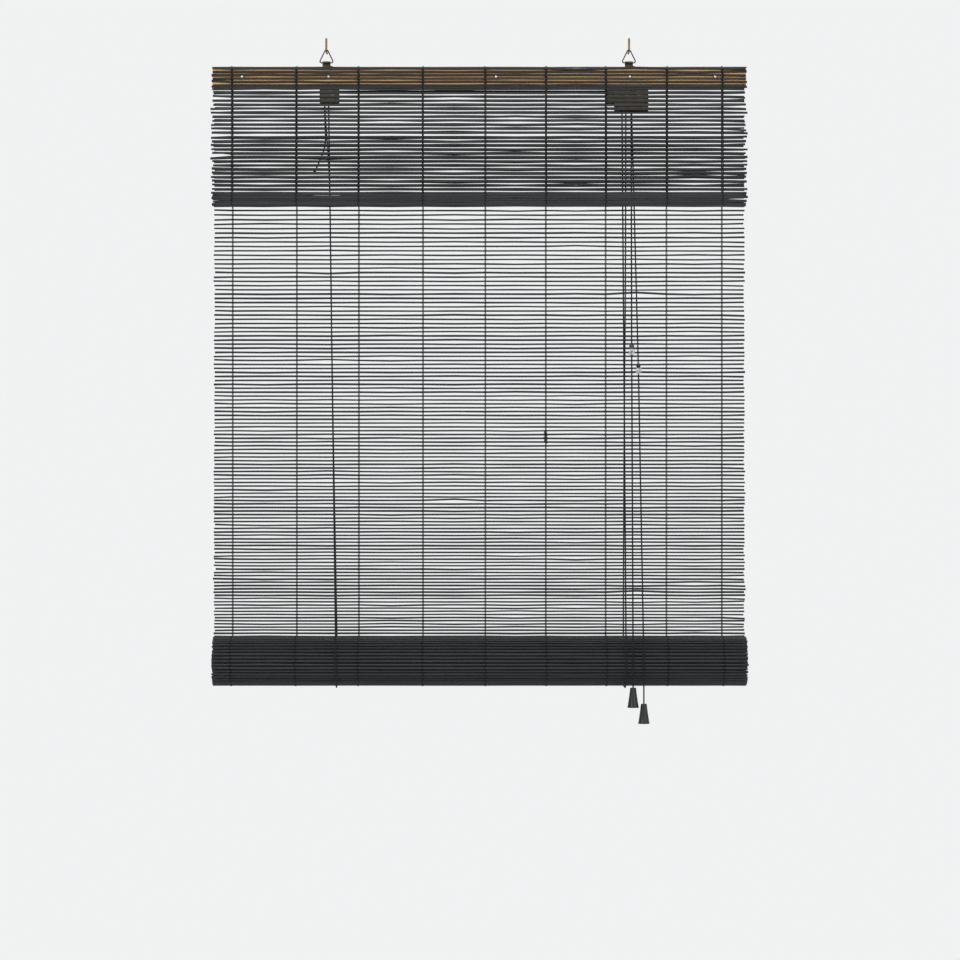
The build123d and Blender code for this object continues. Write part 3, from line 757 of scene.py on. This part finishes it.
def run_length(points):
    """The length of a line of points."""
    return sum((Vector(a) - Vector(b)).length for a, b in zip(points, points[1:]))


def cord_piece(name, body, route, nodes):
    """A braided cord along the route's own spline, with its pattern map in cord diameters."""
    radius = bpy.context.scene.blind_sizes.cord_radius
    mesh, path = strands([[m(*place) for place in route]], radius, resolution=16, sides=3)
    length = run_length(path)
    layer = mesh.uv_layers.active or mesh.uv_layers.new(name="UVMap")
    layer.name = "UVMap"
    diameters = length / (2 * radius)
    for corner in layer.data:
        corner.uv.x = corner.uv.x * diameters
    piece = settle(name, mesh, body, finish_of(braided_cord), nodes)
    return piece


def knot_form(place, along, size=1.0):
    """A tight overhand knot: one cyclic strand that passes through itself."""
    turn = turn_from_z(along)
    line = []
    for i in range(KNOT_POINTS):
        t = math.tau * i / KNOT_POINTS
        x = math.sin(t) + 2 * math.sin(2 * t)
        y = math.cos(t) - 2 * math.cos(2 * t)
        z = -1.3 * math.sin(3 * t)
        line.append(turn @ (m(x, y, z) * KNOT_REACH * size) + m(*place))
    mesh, _ = strands([line], KNOT_STRAND * 0.001 * size, resolution=3, cyclic=True)
    return form_of(mesh)


def reed_stations(left, right):
    """Where a reed's sections lie: its ends, each warp and the middle of each bay."""
    stations = [left]
    for i, warp in enumerate(WARPS):
        if i:
            stations.append((WARPS[i - 1] + warp) / 2)
        stations.append(warp)
    return stations + [right]


def reed_template():
    """One straight reed with a six sided section, its stations numbered along X."""
    spans = len(reed_stations(0, 1)) - 1
    form = bmesh.new()
    bmesh.ops.create_cone(form, cap_ends=True, segments=6, radius1=1.0, radius2=1.0, depth=1.0)
    bmesh.ops.rotate(form, matrix=Matrix.Rotation(math.pi / 6, 3, "Z"), verts=form.verts)
    bmesh.ops.rotate(form, matrix=Matrix.Rotation(math.pi / 2, 3, "Y"), verts=form.verts)
    bmesh.ops.translate(form, vec=(0.5, 0, 0), verts=form.verts)
    long_edges = [edge for edge in form.edges if abs(edge.verts[0].co.x - edge.verts[1].co.x) > 0.5]
    bmesh.ops.subdivide_edges(form, edges=long_edges, cuts=spans - 1, use_grid_fill=False)
    bmesh.ops.scale(form, vec=(spans, 1, 1), verts=form.verts)
    mesh = bpy.data.meshes.new("reed_template")
    form.to_mesh(mesh)
    form.free()
    return mesh


def reed_strays(count, chance, calm, bold):
    """How far a reed strays outwards and upwards at each of its stations, in metres."""
    sizes = bpy.context.scene.blind_sizes
    strays = []
    for station in range(count):
        at_warp = station % 2 == 1
        reach = sizes.reed_bow * (TIED_SHARE if at_warp else 1.0)
        if station in (0, count - 1):
            reach = sizes.end_stray
        if not at_warp and chance.random() < bold:
            reach *= BOLD_BOW
        outward = chance.gauss(0, OUTWARD_STRAY)
        upward = max(-STRAY_LIMIT, min(STRAY_LIMIT, chance.gauss(0, STRAY_SPREAD))) * reach * calm
        strays.append((outward, upward))
    return strays


def add_reeds(form, reeds, chance, ends, calm=1.0, scatter=0.5, bold=0.05, stout=1.0):
    """Adds wavy reeds at the given (y, z, tilt) places.

    calm scales how far they stray, scatter spreads their ends, bold is the share of bays in which one
    bows out strongly, and stout scales their height.
    """
    sizes = bpy.context.scene.blind_sizes
    template = reed_template()
    count = len(template.vertices)
    for y, z, tilt in reeds:
        stations = reed_stations(*(end + chance.gauss(0, scatter) for end in ends))
        strays = reed_strays(len(stations), chance, calm, bold)
        half_depth = sizes.reed_depth / 2 * chance.uniform(0.88, 1.08)
        half_height = sizes.reed_height / 2 * stout * chance.uniform(0.86, 1.12)
        taper = [chance.uniform(0.9, 1.06) for _ in stations]
        middle = m(0, y, z)
        form.from_mesh(template)
        form.verts.ensure_lookup_table()
        for vert in form.verts[-count:]:
            station = round(vert.co.x)
            outward = -vert.co.y * half_depth * taper[station] + strays[station][0]
            upward = vert.co.z * half_height * taper[station] + strays[station][1]
            vert.co = (
                stations[station] * 0.001,
                middle.y - outward * math.cos(tilt) + upward * math.sin(tilt),
                middle.z + upward * math.cos(tilt) + outward * math.sin(tilt),
            )
    bpy.data.meshes.remove(template)


def twined(centres, swing, apart=THREADS_APART):
    """Two threads at each warp that cross between the reeds, as lines of control points in metres."""
    lines = []
    for number, warp in enumerate(WARPS):
        for way in (1, -1):
            line = []
            for i, (y, z, tilt) in enumerate(centres):
                side = way * (1 if (i + number) % 2 else -1)
                at_end = i in (0, len(centres) - 1)
                reach = swing * side * (END_SWING if at_end else 1.0)
                line.append(m(warp + apart * way, y - reach * math.cos(tilt), z + reach * math.sin(tilt)))
            lines.append(line)
    return lines


def tangle_line(chance):
    """A loose tangle of thread in front of the sixth warp, in metres."""
    line = []
    for i in range(TANGLE_POINTS):
        turn = TANGLE_TURN * i
        x = TANGLE_X + 2.3 * math.cos(turn) + chance.gauss(0, 0.5)
        y = MAT_Y - 1.4 + chance.gauss(0, 0.3)
        z = TANGLE_Z - 0.4 * i + 2.2 * math.sin(turn) + chance.gauss(0, 0.6)
        line.append(m(x, y, z))
    return line


def mat_places():
    """The hanging mat's reeds from above the fold down to the roll."""
    heights = []
    z = FOLD_Z + GRID * ROWS_ABOVE_FOLD
    while z > FLAP_FOOT_Z - 2.0:
        heights.append(z)
        skips = z > SKIP_Z >= z - GRID
        z -= GRID * (1.5 if skips else 1.0)
    pitch = OPEN_PITCH
    while heights[-1] - pitch > MAT_FOOT_Z:
        heights.append(heights[-1] - pitch)
        pitch -= pitch * PITCH_LOSS
    return [(MAT_Y, z, 0.0) for z in heights]


def flap_y(z):
    """How far forward the valance hangs."""
    return VALANCE_Y - FLAP_LEAN * (FOLD_Z - z) / (FOLD_Z - FLAP_FOOT_Z)


def valance_places():
    """The valance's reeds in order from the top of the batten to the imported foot."""
    lean = math.atan2(FLAP_LEAN, FOLD_Z - FLAP_FOOT_Z)
    places = [(y, TOP_REED_Z, math.pi / 2) for y in TOP_REED_YS]
    places += [(VALANCE_Y, FACE_TOP_Z - FACE_PITCH * i, 0.0) for i in range(FACE_REEDS)]
    places.append((VALANCE_Y, FACE_FOOT_Z, 0.0))
    foot = FLAP_FOOT_Z + PACKED_REED_HALF
    packed = [foot + PACKED_PITCH * i for i in reversed(range(PACKED_REEDS))]
    z = FOLD_Z - GRID
    while z > packed[0] + 1.0:
        places.append((flap_y(z), z, -lean))
        z -= GRID
    return places + [(flap_y(z), z, -lean) for z in packed]


def roll_places():
    """The rolled reeds from the scroll's outer end inwards: the outermost turn's, and the others."""
    outer = []
    inner = []
    turned = FIRST_REED_TURN
    while turned < 360 * ROLL_TURNS:
        eased = min(1.0, max(0.0, (turned - ROUND_UNTIL) / EASES_OVER))
        radius = ROLL_RADIUS - ROLL_PITCH * turned / 360 * eased
        angle = math.radians(ROLL_START - turned)
        place = (ROLL_Y + radius * math.cos(angle), ROLL_Z + radius * math.sin(angle), math.pi - angle)
        reeds = outer if radius > ROLL_RADIUS - 0.9 * ROLL_PITCH else inner
        reeds.append(place)
        turned += math.degrees(ROLL_REED_SPACING / radius)
    return outer, inner


def studio_camera():
    """A long lens far in front of the blind, level with its middle."""
    camera = bpy.data.objects.new("camera", bpy.data.cameras.new("camera"))
    camera.location = CAMERA_PLACE
    camera.rotation_euler = (math.pi / 2, 0, 0)
    camera.data.lens = CAMERA_LENS
    camera.data.sensor_width = CAMERA_SENSOR
    camera.data.clip_end = 50.0
    bpy.context.scene.collection.objects.link(camera)
    bpy.context.scene.camera = camera


def studio_floor():
    """A wide pale floor that mostly glows, so that it looks as even as the air."""
    pale = Finish("studio_floor")
    glow = pale.node("ShaderNodeEmission", {}, {"Color": FLOOR_WHITE, "Strength": 1.0})
    paint = pale.node("ShaderNodeBsdfDiffuse", {}, {"Color": FLOOR_PAINT})
    inputs = {0: pale.seen() * FLOOR_GLOW_SHARE, 1: paint.outputs[0], 2: glow.outputs[0]}
    mixed = pale.node("ShaderNodeMixShader", {}, inputs)
    pale.feed(pale.tree.nodes["Material Output"].inputs[0], mixed.outputs[0])
    ground = bmesh.new()
    bmesh.ops.create_grid(ground, x_segments=1, y_segments=1, size=FLOOR_HALF)
    bmesh.ops.translate(ground, vec=(0, 0, FLOOR_Z), verts=ground.verts)
    settle("studio_floor", ground, None, pale.material)


def studio_lamps():
    """Square lamps in front of the blind and behind it, all aimed at its middle."""
    for name, place, size, power in LAMPS:
        lamp = bpy.data.objects.new(name, bpy.data.lights.new(name, "AREA"))
        lamp.data.size = size
        lamp.data.energy = power
        lamp.location = place
        lamp.rotation_euler = (LAMP_TARGET - Vector(place)).to_track_quat("-Z", "Y").to_euler()
        bpy.context.scene.collection.objects.link(lamp)


def studio_air():
    """A world that looks nearly white and lights the blind only softly."""
    world = bpy.data.worlds.new("studio_air")
    world.use_nodes = True
    air = Nodes(world.node_tree)
    light = air.node("ShaderNodeBackground", {}, {"Color": STUDIO_LIGHT, "Strength": STUDIO_LIGHT_STRENGTH})
    white = air.node("ShaderNodeBackground", {}, {"Color": STUDIO_WHITE, "Strength": 1.0})
    mixed = air.node("ShaderNodeMixShader", {}, {0: air.seen(), 1: light.outputs[0], 2: white.outputs[0]})
    air.feed(air.tree.nodes["World Output"].inputs[0], mixed.outputs[0])
    bpy.context.scene.world = world


class BLIND_OT_stage(Operator):
    """Sets the camera, the studio floor, the lamps and the world"""

    bl_idname = "blind.stage"
    bl_label = "Stage"

    def execute(self, context):
        context.scene.view_settings.view_transform = "Standard"
        studio_camera()
        studio_floor()
        studio_lamps()
        studio_air()
        return {"FINISHED"}


def hook_rod(x):
    """The hook's wire, out from the wall and bent upwards."""
    bend = [math.pi / 2 * i / HOOK_BEND_STEPS for i in range(1, HOOK_BEND_STEPS + 1)]
    start = HOOK_FRONT_Y + HOOK_BEND
    line = [(x, HOOK_WALL_Y, 0), (x, start, 0)]
    line += [(x, start - HOOK_BEND * math.sin(a), HOOK_BEND - HOOK_BEND * math.cos(a)) for a in bend]
    line += [(x, HOOK_FRONT_Y, z) for z in HOOK_RISE]
    mesh, _ = strands([[m(*place) for place in line]], HOOK_WIRE * 0.001, "POLY", sides=4)
    return form_of(mesh)


def hook_thread(x):
    """The rib of the hook's screw thread, closed at both ends."""
    form = bmesh.new()
    rib = [form.verts.new(m(*place)) for place in THREAD_RIB]
    edges = [form.edges.new((rib[i - 1], rib[i])) for i in range(3)]
    swept = bmesh.ops.spin(
        form,
        geom=rib + edges,
        cent=(0, 0, 0),
        axis=(0, 0, 1),
        dvec=m(0, 0, THREAD_PITCH / THREAD_STEPS),
        angle=math.tau * THREAD_TURNS,
        steps=THREAD_STEPS * THREAD_TURNS,
    )
    form.faces.new(rib)
    form.faces.new([part for part in swept["geom_last"] if isinstance(part, bmesh.types.BMVert)])
    bmesh.ops.recalc_face_normals(form, faces=form.faces)
    into_wall = Matrix.Translation(m(x, 0, 0)) @ Matrix.Rotation(-math.pi / 2, 4, "X")
    bmesh.ops.transform(form, matrix=into_wall, verts=form.verts)
    return form


class BLIND_OT_hooks(Operator):
    """Makes the two screw hooks, with their bends and threads"""

    bl_idname = "blind.hooks"
    bl_label = "Hooks"

    def execute(self, context):
        for side, x in HANGERS:
            shank = spun(SHANK_PROFILE, 20, (x, 0, 0), (0, 1, 0))
            form = joined([hook_rod(x), shank, hook_thread(x)])
            brass = finish_of(hook_brass)
            settle(f"{side}_screw_hook", form, "hangers", brass, ["wall_hooks"])
        return {"FINISHED"}


def ring_line(x):
    """The middle of a ring's wire: an arc over the hook and a rounded corner at each side."""
    top = RING_TOP_RADIUS
    corner = RING_CORNER_RADIUS
    foot = (top / math.sin(RING_SLOPE) - RING_FOOT_Z) * math.tan(RING_SLOPE)
    reach = corner / math.tan((math.pi / 2 - RING_SLOPE) / 2)
    top_turn = (math.pi - 2 * RING_SLOPE) / RING_TOP_STEPS
    over = [RING_SLOPE + top_turn * i for i in range(RING_TOP_STEPS + 1)]
    corner_turn = (math.pi / 2 + RING_SLOPE) / RING_CORNER_STEPS
    round_corner = [RING_SLOPE - corner_turn * i for i in range(RING_CORNER_STEPS + 1)]
    line = [m(x - top * math.cos(a), RING_Y, top * math.sin(a)) for a in over]
    for way in (1, -1):
        centre_x = x + way * (foot - reach)
        centre_z = RING_FOOT_Z + corner
        arc = [
            m(centre_x + way * corner * math.cos(a), RING_Y, centre_z + corner * math.sin(a))
            for a in round_corner
        ]
        line += arc[::way]
    return line


class BLIND_OT_rings(Operator):
    """Makes the two triangle rings of bent wire"""

    bl_idname = "blind.rings"
    bl_label = "Hanging rings"

    def execute(self, context):
        for side, x in HANGERS:
            mesh, _ = strands([ring_line(x)], RING_WIRE * 0.001, "POLY", sides=3, cyclic=True)
            copper = finish_of(copper_wire)
            settle(f"{side}_hanging_ring", mesh, "hangers", copper, ["hanging_rings"])
        return {"FINISHED"}


class BLIND_OT_batten(Operator):
    """Gives the batten its wood and makes its nails"""

    bl_idname = "blind.batten"
    bl_label = "Batten and nails"

    def execute(self, context):
        dress("head_batten", finish_of(batten_wood))
        nails = joined([spun(NAIL_PROFILE, 20, (x, 0, NAIL_Z), (0, -1, 0)) for x in NAIL_XS])
        settle("round_head_nails", nails, "head", finish_of(steel), ["batten_nails"])
        return {"FINISHED"}


class BLIND_OT_fittings(Operator):
    """Gives the brackets, pins and pawl their metals, and turns the two wheels"""

    bl_idname = "blind.fittings"
    bl_label = "Brackets and lock"

    def execute(self, context):
        for node in ("left_bracket", "right_bracket"):
            dress(node, finish_of(dark_brass))
        for node in ("left_pulley_pin", "lock_roller_pin", "lock_pawl_pin"):
            dress(node, finish_of(dull_steel))
        brass = finish_of(lock_brass)
        dress("lock_pawl", brass)
        pulley = spun(mirrored(PULLEY_HALF_PROFILE), 40, (PULLEY_X, FRONT_LANE, WHEEL_Z), (0, 1, 0))
        settle("grooved_pulley", pulley, "left_wheel", brass, ["left_pulley"])
        roller = spun(mirrored(ROLLER_HALF_PROFILE), 40, (ROLLER_X, ROLLER_Y, WHEEL_Z), (0, 1, 0))
        settle("plain_roller", roller, "lock_wheel", brass, ["lock_roller"])
        return {"FINISHED"}


class BLIND_OT_valance(Operator):
    """Weaves the valance over the batten"""

    bl_idname = "blind.valance"
    bl_label = "Valance"

    def execute(self, context):
        sizes = context.scene.blind_sizes
        chance = random.Random(sizes.seed)
        places = valance_places()
        form = bmesh.new()
        add_reeds(form, places, chance, VALANCE_ENDS, calm=1.3, scatter=0.9, stout=1.19)
        bamboo = finish_of(stained_bamboo)
        settle("valance_reeds", form, "head", bamboo, ["valance_mat"])
        lines = twined(places, VALANCE_SWING, VALANCE_APART)
        threads, _ = strands(lines, sizes.thread_radius * VALANCE_THREAD, resolution=3, sides=1)
        settle("valance_warps", threads, "head", finish_of(warp_thread), ["valance_threads"])
        return {"FINISHED"}


class BLIND_OT_hanging_mat(Operator):
    """Weaves the hanging mat"""

    bl_idname = "blind.hanging_mat"
    bl_label = "Hanging mat"

    def execute(self, context):
        sizes = context.scene.blind_sizes
        chance = random.Random(sizes.seed + 1)
        places = mat_places()
        form = bmesh.new()
        add_reeds(form, places, chance, MAT_ENDS)
        bamboo = finish_of(stained_bamboo)
        reeds = settle("hanging_reeds", form, "head", bamboo, ["hanging_mat"])
        lines = twined(places, MAT_SWING) + [tangle_line(chance)]
        threads, _ = strands(lines, sizes.thread_radius, resolution=3, sides=1)
        cotton = finish_of(warp_thread)
        warps = settle("hanging_warps", threads, "head", cotton, ["hanging_threads"])
        for piece in (reeds, warps):
            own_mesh(piece)
        return {"FINISHED"}


class BLIND_OT_roll(Operator):
    """Rolls up the lower mat round its rod: a scroll of reeds with warps round the outermost turn"""

    bl_idname = "blind.roll"
    bl_label = "Roll"

    def execute(self, context):
        sizes = context.scene.blind_sizes
        chance = random.Random(sizes.seed + 2)
        outer, inner = roll_places()
        form = bmesh.new()
        add_reeds(form, outer, chance, ROLL_ENDS, calm=0.6, scatter=0.35, bold=0.0, stout=1.15)
        add_reeds(form, inner, chance, ROLL_ENDS, calm=0.2, scatter=0.7, bold=0.0, stout=1.05)
        bamboo = finish_of(stained_bamboo)
        settle("rolled_reeds", form, "roll", bamboo, ["rolled_mat"])
        dress("bottom_rod", bamboo)
        threads, _ = strands(twined(outer, ROLL_SWING), sizes.thread_radius, resolution=3, sides=1)
        settle("roll_warps", threads, "roll", finish_of(warp_thread), ())
        return {"FINISHED"}


def cords_in_lock():
    """The left cord from its pulley to the lock, and the right cord over the lock's roller."""
    nodes = ["lock_cords"]
    shoulder = CROWN_Z - 0.3
    over_left = [
        (PULLEY_CORD_X, FRONT_LANE, WHEEL_Z),
        (PULLEY_CORD_X, FRONT_LANE, shoulder),
        (PULLEY_X, FRONT_LANE, CROWN_Z),
        (0.0, FRONT_LANE, CROWN_Z),
        (ROLLER_X, FRONT_LANE, CROWN_Z),
        (LOCK_OUT_X, FRONT_LANE, shoulder),
        (LOCK_OUT_X, FRONT_LANE, WHEEL_Z),
    ]
    cord_piece("left_cord_over_batten", "head", over_left, nodes)
    over_roller = [
        (LOCK_IN_X, BACK_LANE, WHEEL_Z),
        (LOCK_IN_X, BACK_LANE, CROWN_Z),
        (LOCK_OUT_X, BACK_LANE, CROWN_Z),
        (LOCK_OUT_X, BACK_LANE, WHEEL_Z),
    ]
    cord_piece("right_cord_over_roller", "head", over_roller, nodes)


def front_and_back_runs():
    """Each cord's run down the front of the mat and up its back."""
    runs = (
        ("left_front_run", "lift_front_runs", [
            (PULLEY_CORD_X, FRONT_LANE, RUN_TOP_Z),
            (-162.0, -34.9, -365.0),
            (LEFT_LOOP_X, -58.62, -679.8),
        ]),
        ("right_front_run", "lift_front_runs", [
            (LOCK_IN_X, BACK_LANE, RUN_TOP_Z),
            (163.1, -33.6, -365.0),
            (RIGHT_LOOP_X, -58.61, -679.6),
        ]),
        ("left_back_run", "lift_back_runs", [
            (LEFT_TIE_X, LOOP_BACK_Y, -66.3),
            (-167.0, LOOP_BACK_Y, -120.0),
            (-165.4, LOOP_BACK_Y, -180.0),
            (-163.0, LOOP_BACK_Y, -390.0),
            (-158.0, LOOP_BACK_Y, -640.0),
            (LEFT_LOOP_BACK_X, LOOP_BACK_Y, BACK_RUN_FOOT_Z),
        ]),
        ("right_back_run", "lift_back_runs", [
            (RIGHT_TIE_X, LOOP_BACK_Y, -73.7),
            (166.0, LOOP_BACK_Y, -250.0),
            (164.4, LOOP_BACK_Y, -400.0),
            (RIGHT_LOOP_BACK_X, LOOP_BACK_Y, -640.0),
            (RIGHT_LOOP_BACK_X, LOOP_BACK_Y, BACK_RUN_FOOT_Z),
        ]),
    )
    for name, node, route in runs:
        piece = cord_piece(name, "head", route, [node])
        top = route[0][2]
        keep = 1 - LIFT_TRAVEL / (top - route[-1][2])
        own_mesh(piece)


def loops_under_roll():
    """Each cord's loop under the roll."""
    low = ROLL_Z - LOOP_RADIUS
    loops = (
        ("left_roll_loop", LEFT_LOOP_X, LEFT_LOOP_BACK_X, -679.85),
        ("right_roll_loop", RIGHT_LOOP_X, RIGHT_LOOP_BACK_X, -679.7),
    )
    for name, x, back_x, top in loops:
        under = [
            (x, LOOP_FRONT_Y + 0.08, top),
            (x, LOOP_FRONT_Y, ROLL_Z - 13.0),
            (x, LOOP_FRONT_Y + 8.6, low + 6.0),
            (x, ROLL_Y - 9.0, low - 0.3),
            (back_x, ROLL_Y + 9.0, low - 0.3),
            (back_x, LOOP_BACK_Y - 8.6, low + 6.0),
            (back_x, LOOP_BACK_Y, ROLL_Z - 13.0),
            (back_x, LOOP_BACK_Y, ROLL_Z),
        ]
        cord_piece(name, "cord_loops", under, ["roll_cord_loops"])


def tied_ends():
    """The cords' tied ends: the left one with a loose knotted tail, the right one with a knot."""
    cord = finish_of(braided_cord)
    tail_end = (-182.5, -9.0, -134.6)
    tail = [
        (LEFT_TIE_X, LOOP_BACK_Y, -66.2),
        (LEFT_TIE_X, LOOP_BACK_Y, LEFT_TIE_Z),
        (LEFT_TIE_X, TIE_KNOT_Y, LEFT_TIE_Z),
        (-171.0, -8.0, -80.0),
        (-170.0, -8.5, -104.0),
        (-176.0, -9.0, -121.0),
        tail_end,
    ]
    at_hole = knot_form((LEFT_TIE_X, TIE_KNOT_Y, LEFT_TIE_Z - 0.2), (0, 1, 0))
    at_tail = knot_form(tail_end, (-0.4, 0, -1))
    left_knots = settle("left_cord_knots", joined([at_hole, at_tail]), "head", cord, ["tied_ends"])
    cord_piece("left_cord_tail", "head", tail, ["tied_ends"])
    end = [
        (RIGHT_TIE_X, LOOP_BACK_Y, -73.6),
        (RIGHT_TIE_X, LOOP_BACK_Y, RIGHT_TIE_Z),
        (RIGHT_TIE_X, TIE_KNOT_Y, RIGHT_TIE_Z),
    ]
    cord_piece("right_tied_end", "head", end, ["tied_ends"])
    right_knot = knot_form((RIGHT_TIE_X, TIE_KNOT_Y, RIGHT_TIE_Z - 0.1), (0, 1, 0))
    settle("right_cord_knot", right_knot, "head", cord, ["tied_ends"])


class BLIND_OT_lift_cords(Operator):
    """Lays the lift cords through the wheels, down the front, round the roll and up behind the mat"""

    bl_idname = "blind.lift_cords"
    bl_label = "Lift cords"

    def execute(self, context):
        cords_in_lock()
        front_and_back_runs()
        loops_under_roll()
        tied_ends()
        return {"FINISHED"}


def pull_places(side):
    """Where a pull's cord starts, its connector's foot and direction, its bend and its tassel's top."""
    lane, (foot_x, foot_z), (bend_x, bend_z), tassel_z = PULLS[side]
    start = Vector((LOCK_OUT_X, lane, RUN_TOP_Z))
    share = (WHEEL_Z - foot_z) / (WHEEL_Z - bend_z)
    foot = Vector((foot_x, lane + (LOOP_FRONT_Y - lane) * share, foot_z))
    return start, foot, (start - foot).normalized(), Vector((bend_x, LOOP_FRONT_Y, bend_z)), tassel_z


def bowed_strand(foot, along, knot, bow):
    """One of the two strands that part inside a connector's upper half and meet at its knot."""
    middle = foot + along * CONNECTOR_MIDDLE
    aside = Vector((bow, 0, 0))
    line = [
        foot + along * 12.5,
        foot + along * 11.4,
        middle + along * 4.2 + aside,
        middle + along * 3.3 + aside,
        knot,
        knot - along,
    ]
    mesh, _ = strands([[m(*place) for place in line]], STRAND_RADIUS * 0.001, resolution=6)
    return form_of(mesh)


class BLIND_OT_pulls(Operator):
    """Hangs the two pull cords with their connectors and tassels"""

    bl_idname = "blind.pulls"
    bl_label = "Pulls"

    def execute(self, context):
        for side in ("left", "right"):
            start, foot, along, bend, tassel_z = pull_places(side)
            body = f"{side}_pull"
            upper_end = foot + along * CONNECTOR_TOP
            middle = foot + along * CONNECTOR_MIDDLE
            upper = [start, (start + upper_end) / 2, upper_end]
            upper_nodes = [f"{side}_pull_upper_cord"]
            piece = cord_piece(f"{side}_upper_cord", None, upper, upper_nodes)
            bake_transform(piece)

            upper_knot = middle + along * KNOT_OFFSET
            lower_knot = middle - along * KNOT_OFFSET
            tassel_knot = (bend.x, bend.y, tassel_z - TASSEL_KNOT_DROP)
            knots = [
                knot_form(upper_knot, along, 1.3),
                knot_form(lower_knot, along, 0.85),
                knot_form(tassel_knot, (0, 0, 1), 0.9),
                bowed_strand(foot, along, upper_knot, STRAND_BOW),
                bowed_strand(foot, along, upper_knot, -STRAND_BOW),
            ]
            nodes = [f"{side}_pull_lower_cord"]
            cord = finish_of(braided_cord)
            knot_piece = settle(f"{side}_pull_knots", joined(knots), body, cord, nodes)

            for half, way, plastic in (("upper", 1, clear_plastic), ("lower", -1, milky_plastic)):
                form = spun(HALF_CONNECTOR_PROFILE, 32, middle, along * way)
                name = f"{side}_connector_{half}_half"
                look = finish_of(plastic)
                settle(name, form, body, look, [f"{side}_connector"])

            cone = spun(TASSEL_PROFILE, 48, (bend.x, bend.y, tassel_z))
            gloss = finish_of(gloss_black)
            tassel = settle(f"{side}_cone", cone, body, gloss, [f"{side}_tassel"])
            lower = [
                lower_knot,
                (lower_knot + bend) / 2,
                bend,
                (bend.x, bend.y, (bend.z + tassel_z) / 2 - 3),
                tassel_knot,
            ]
            cord_piece(f"{side}_lower_cord", body, lower, nodes)
        return {"FINISHED"}


class BLIND_PT_panel(Panel):
    """Lists the steps that dress the blind"""

    bl_idname = "BLIND_PT_panel"
    bl_label = "Bamboo blind"
    bl_space_type = "VIEW_3D"
    bl_region_type = "UI"
    bl_category = "Blind"

    def draw(self, context):
        for operator in OPERATORS:
            self.layout.operator(operator.bl_idname)
        for group in (context.scene.blind_sizes, context.scene.blind_colours):
            for name in group.__annotations__:
                self.layout.prop(group, name)


OPERATORS = (
    BLIND_OT_stage,
    BLIND_OT_lift_cords,
    BLIND_OT_pulls,
    BLIND_OT_hooks,
    BLIND_OT_rings,
    BLIND_OT_batten,
    BLIND_OT_fittings,
    BLIND_OT_valance,
    BLIND_OT_hanging_mat,
    BLIND_OT_roll,
)
CLASSES = (BlindSizes, BlindColours, *OPERATORS, BLIND_PT_panel)


def register():
    """Adds the classes and the scene's sizes and colours."""
    for kind in CLASSES:
        bpy.utils.register_class(kind)
    bpy.types.Scene.blind_sizes = PointerProperty(type=BlindSizes)
    bpy.types.Scene.blind_colours = PointerProperty(type=BlindColours)


def unregister():
    """Takes them away again."""
    del bpy.types.Scene.blind_colours
    del bpy.types.Scene.blind_sizes
    for kind in reversed(CLASSES):
        bpy.utils.unregister_class(kind)


def main():
    """Makes the whole blind."""
    register()
    bpy.ops.blind.stage()
    bpy.ops.blind.lift_cords()
    bpy.ops.blind.pulls()
    bpy.ops.blind.hooks()
    bpy.ops.blind.rings()
    bpy.ops.blind.batten()
    bpy.ops.blind.fittings()
    bpy.ops.blind.valance()
    bpy.ops.blind.hanging_mat()
    bpy.ops.blind.roll()


if __name__ == "__main__":
    main()
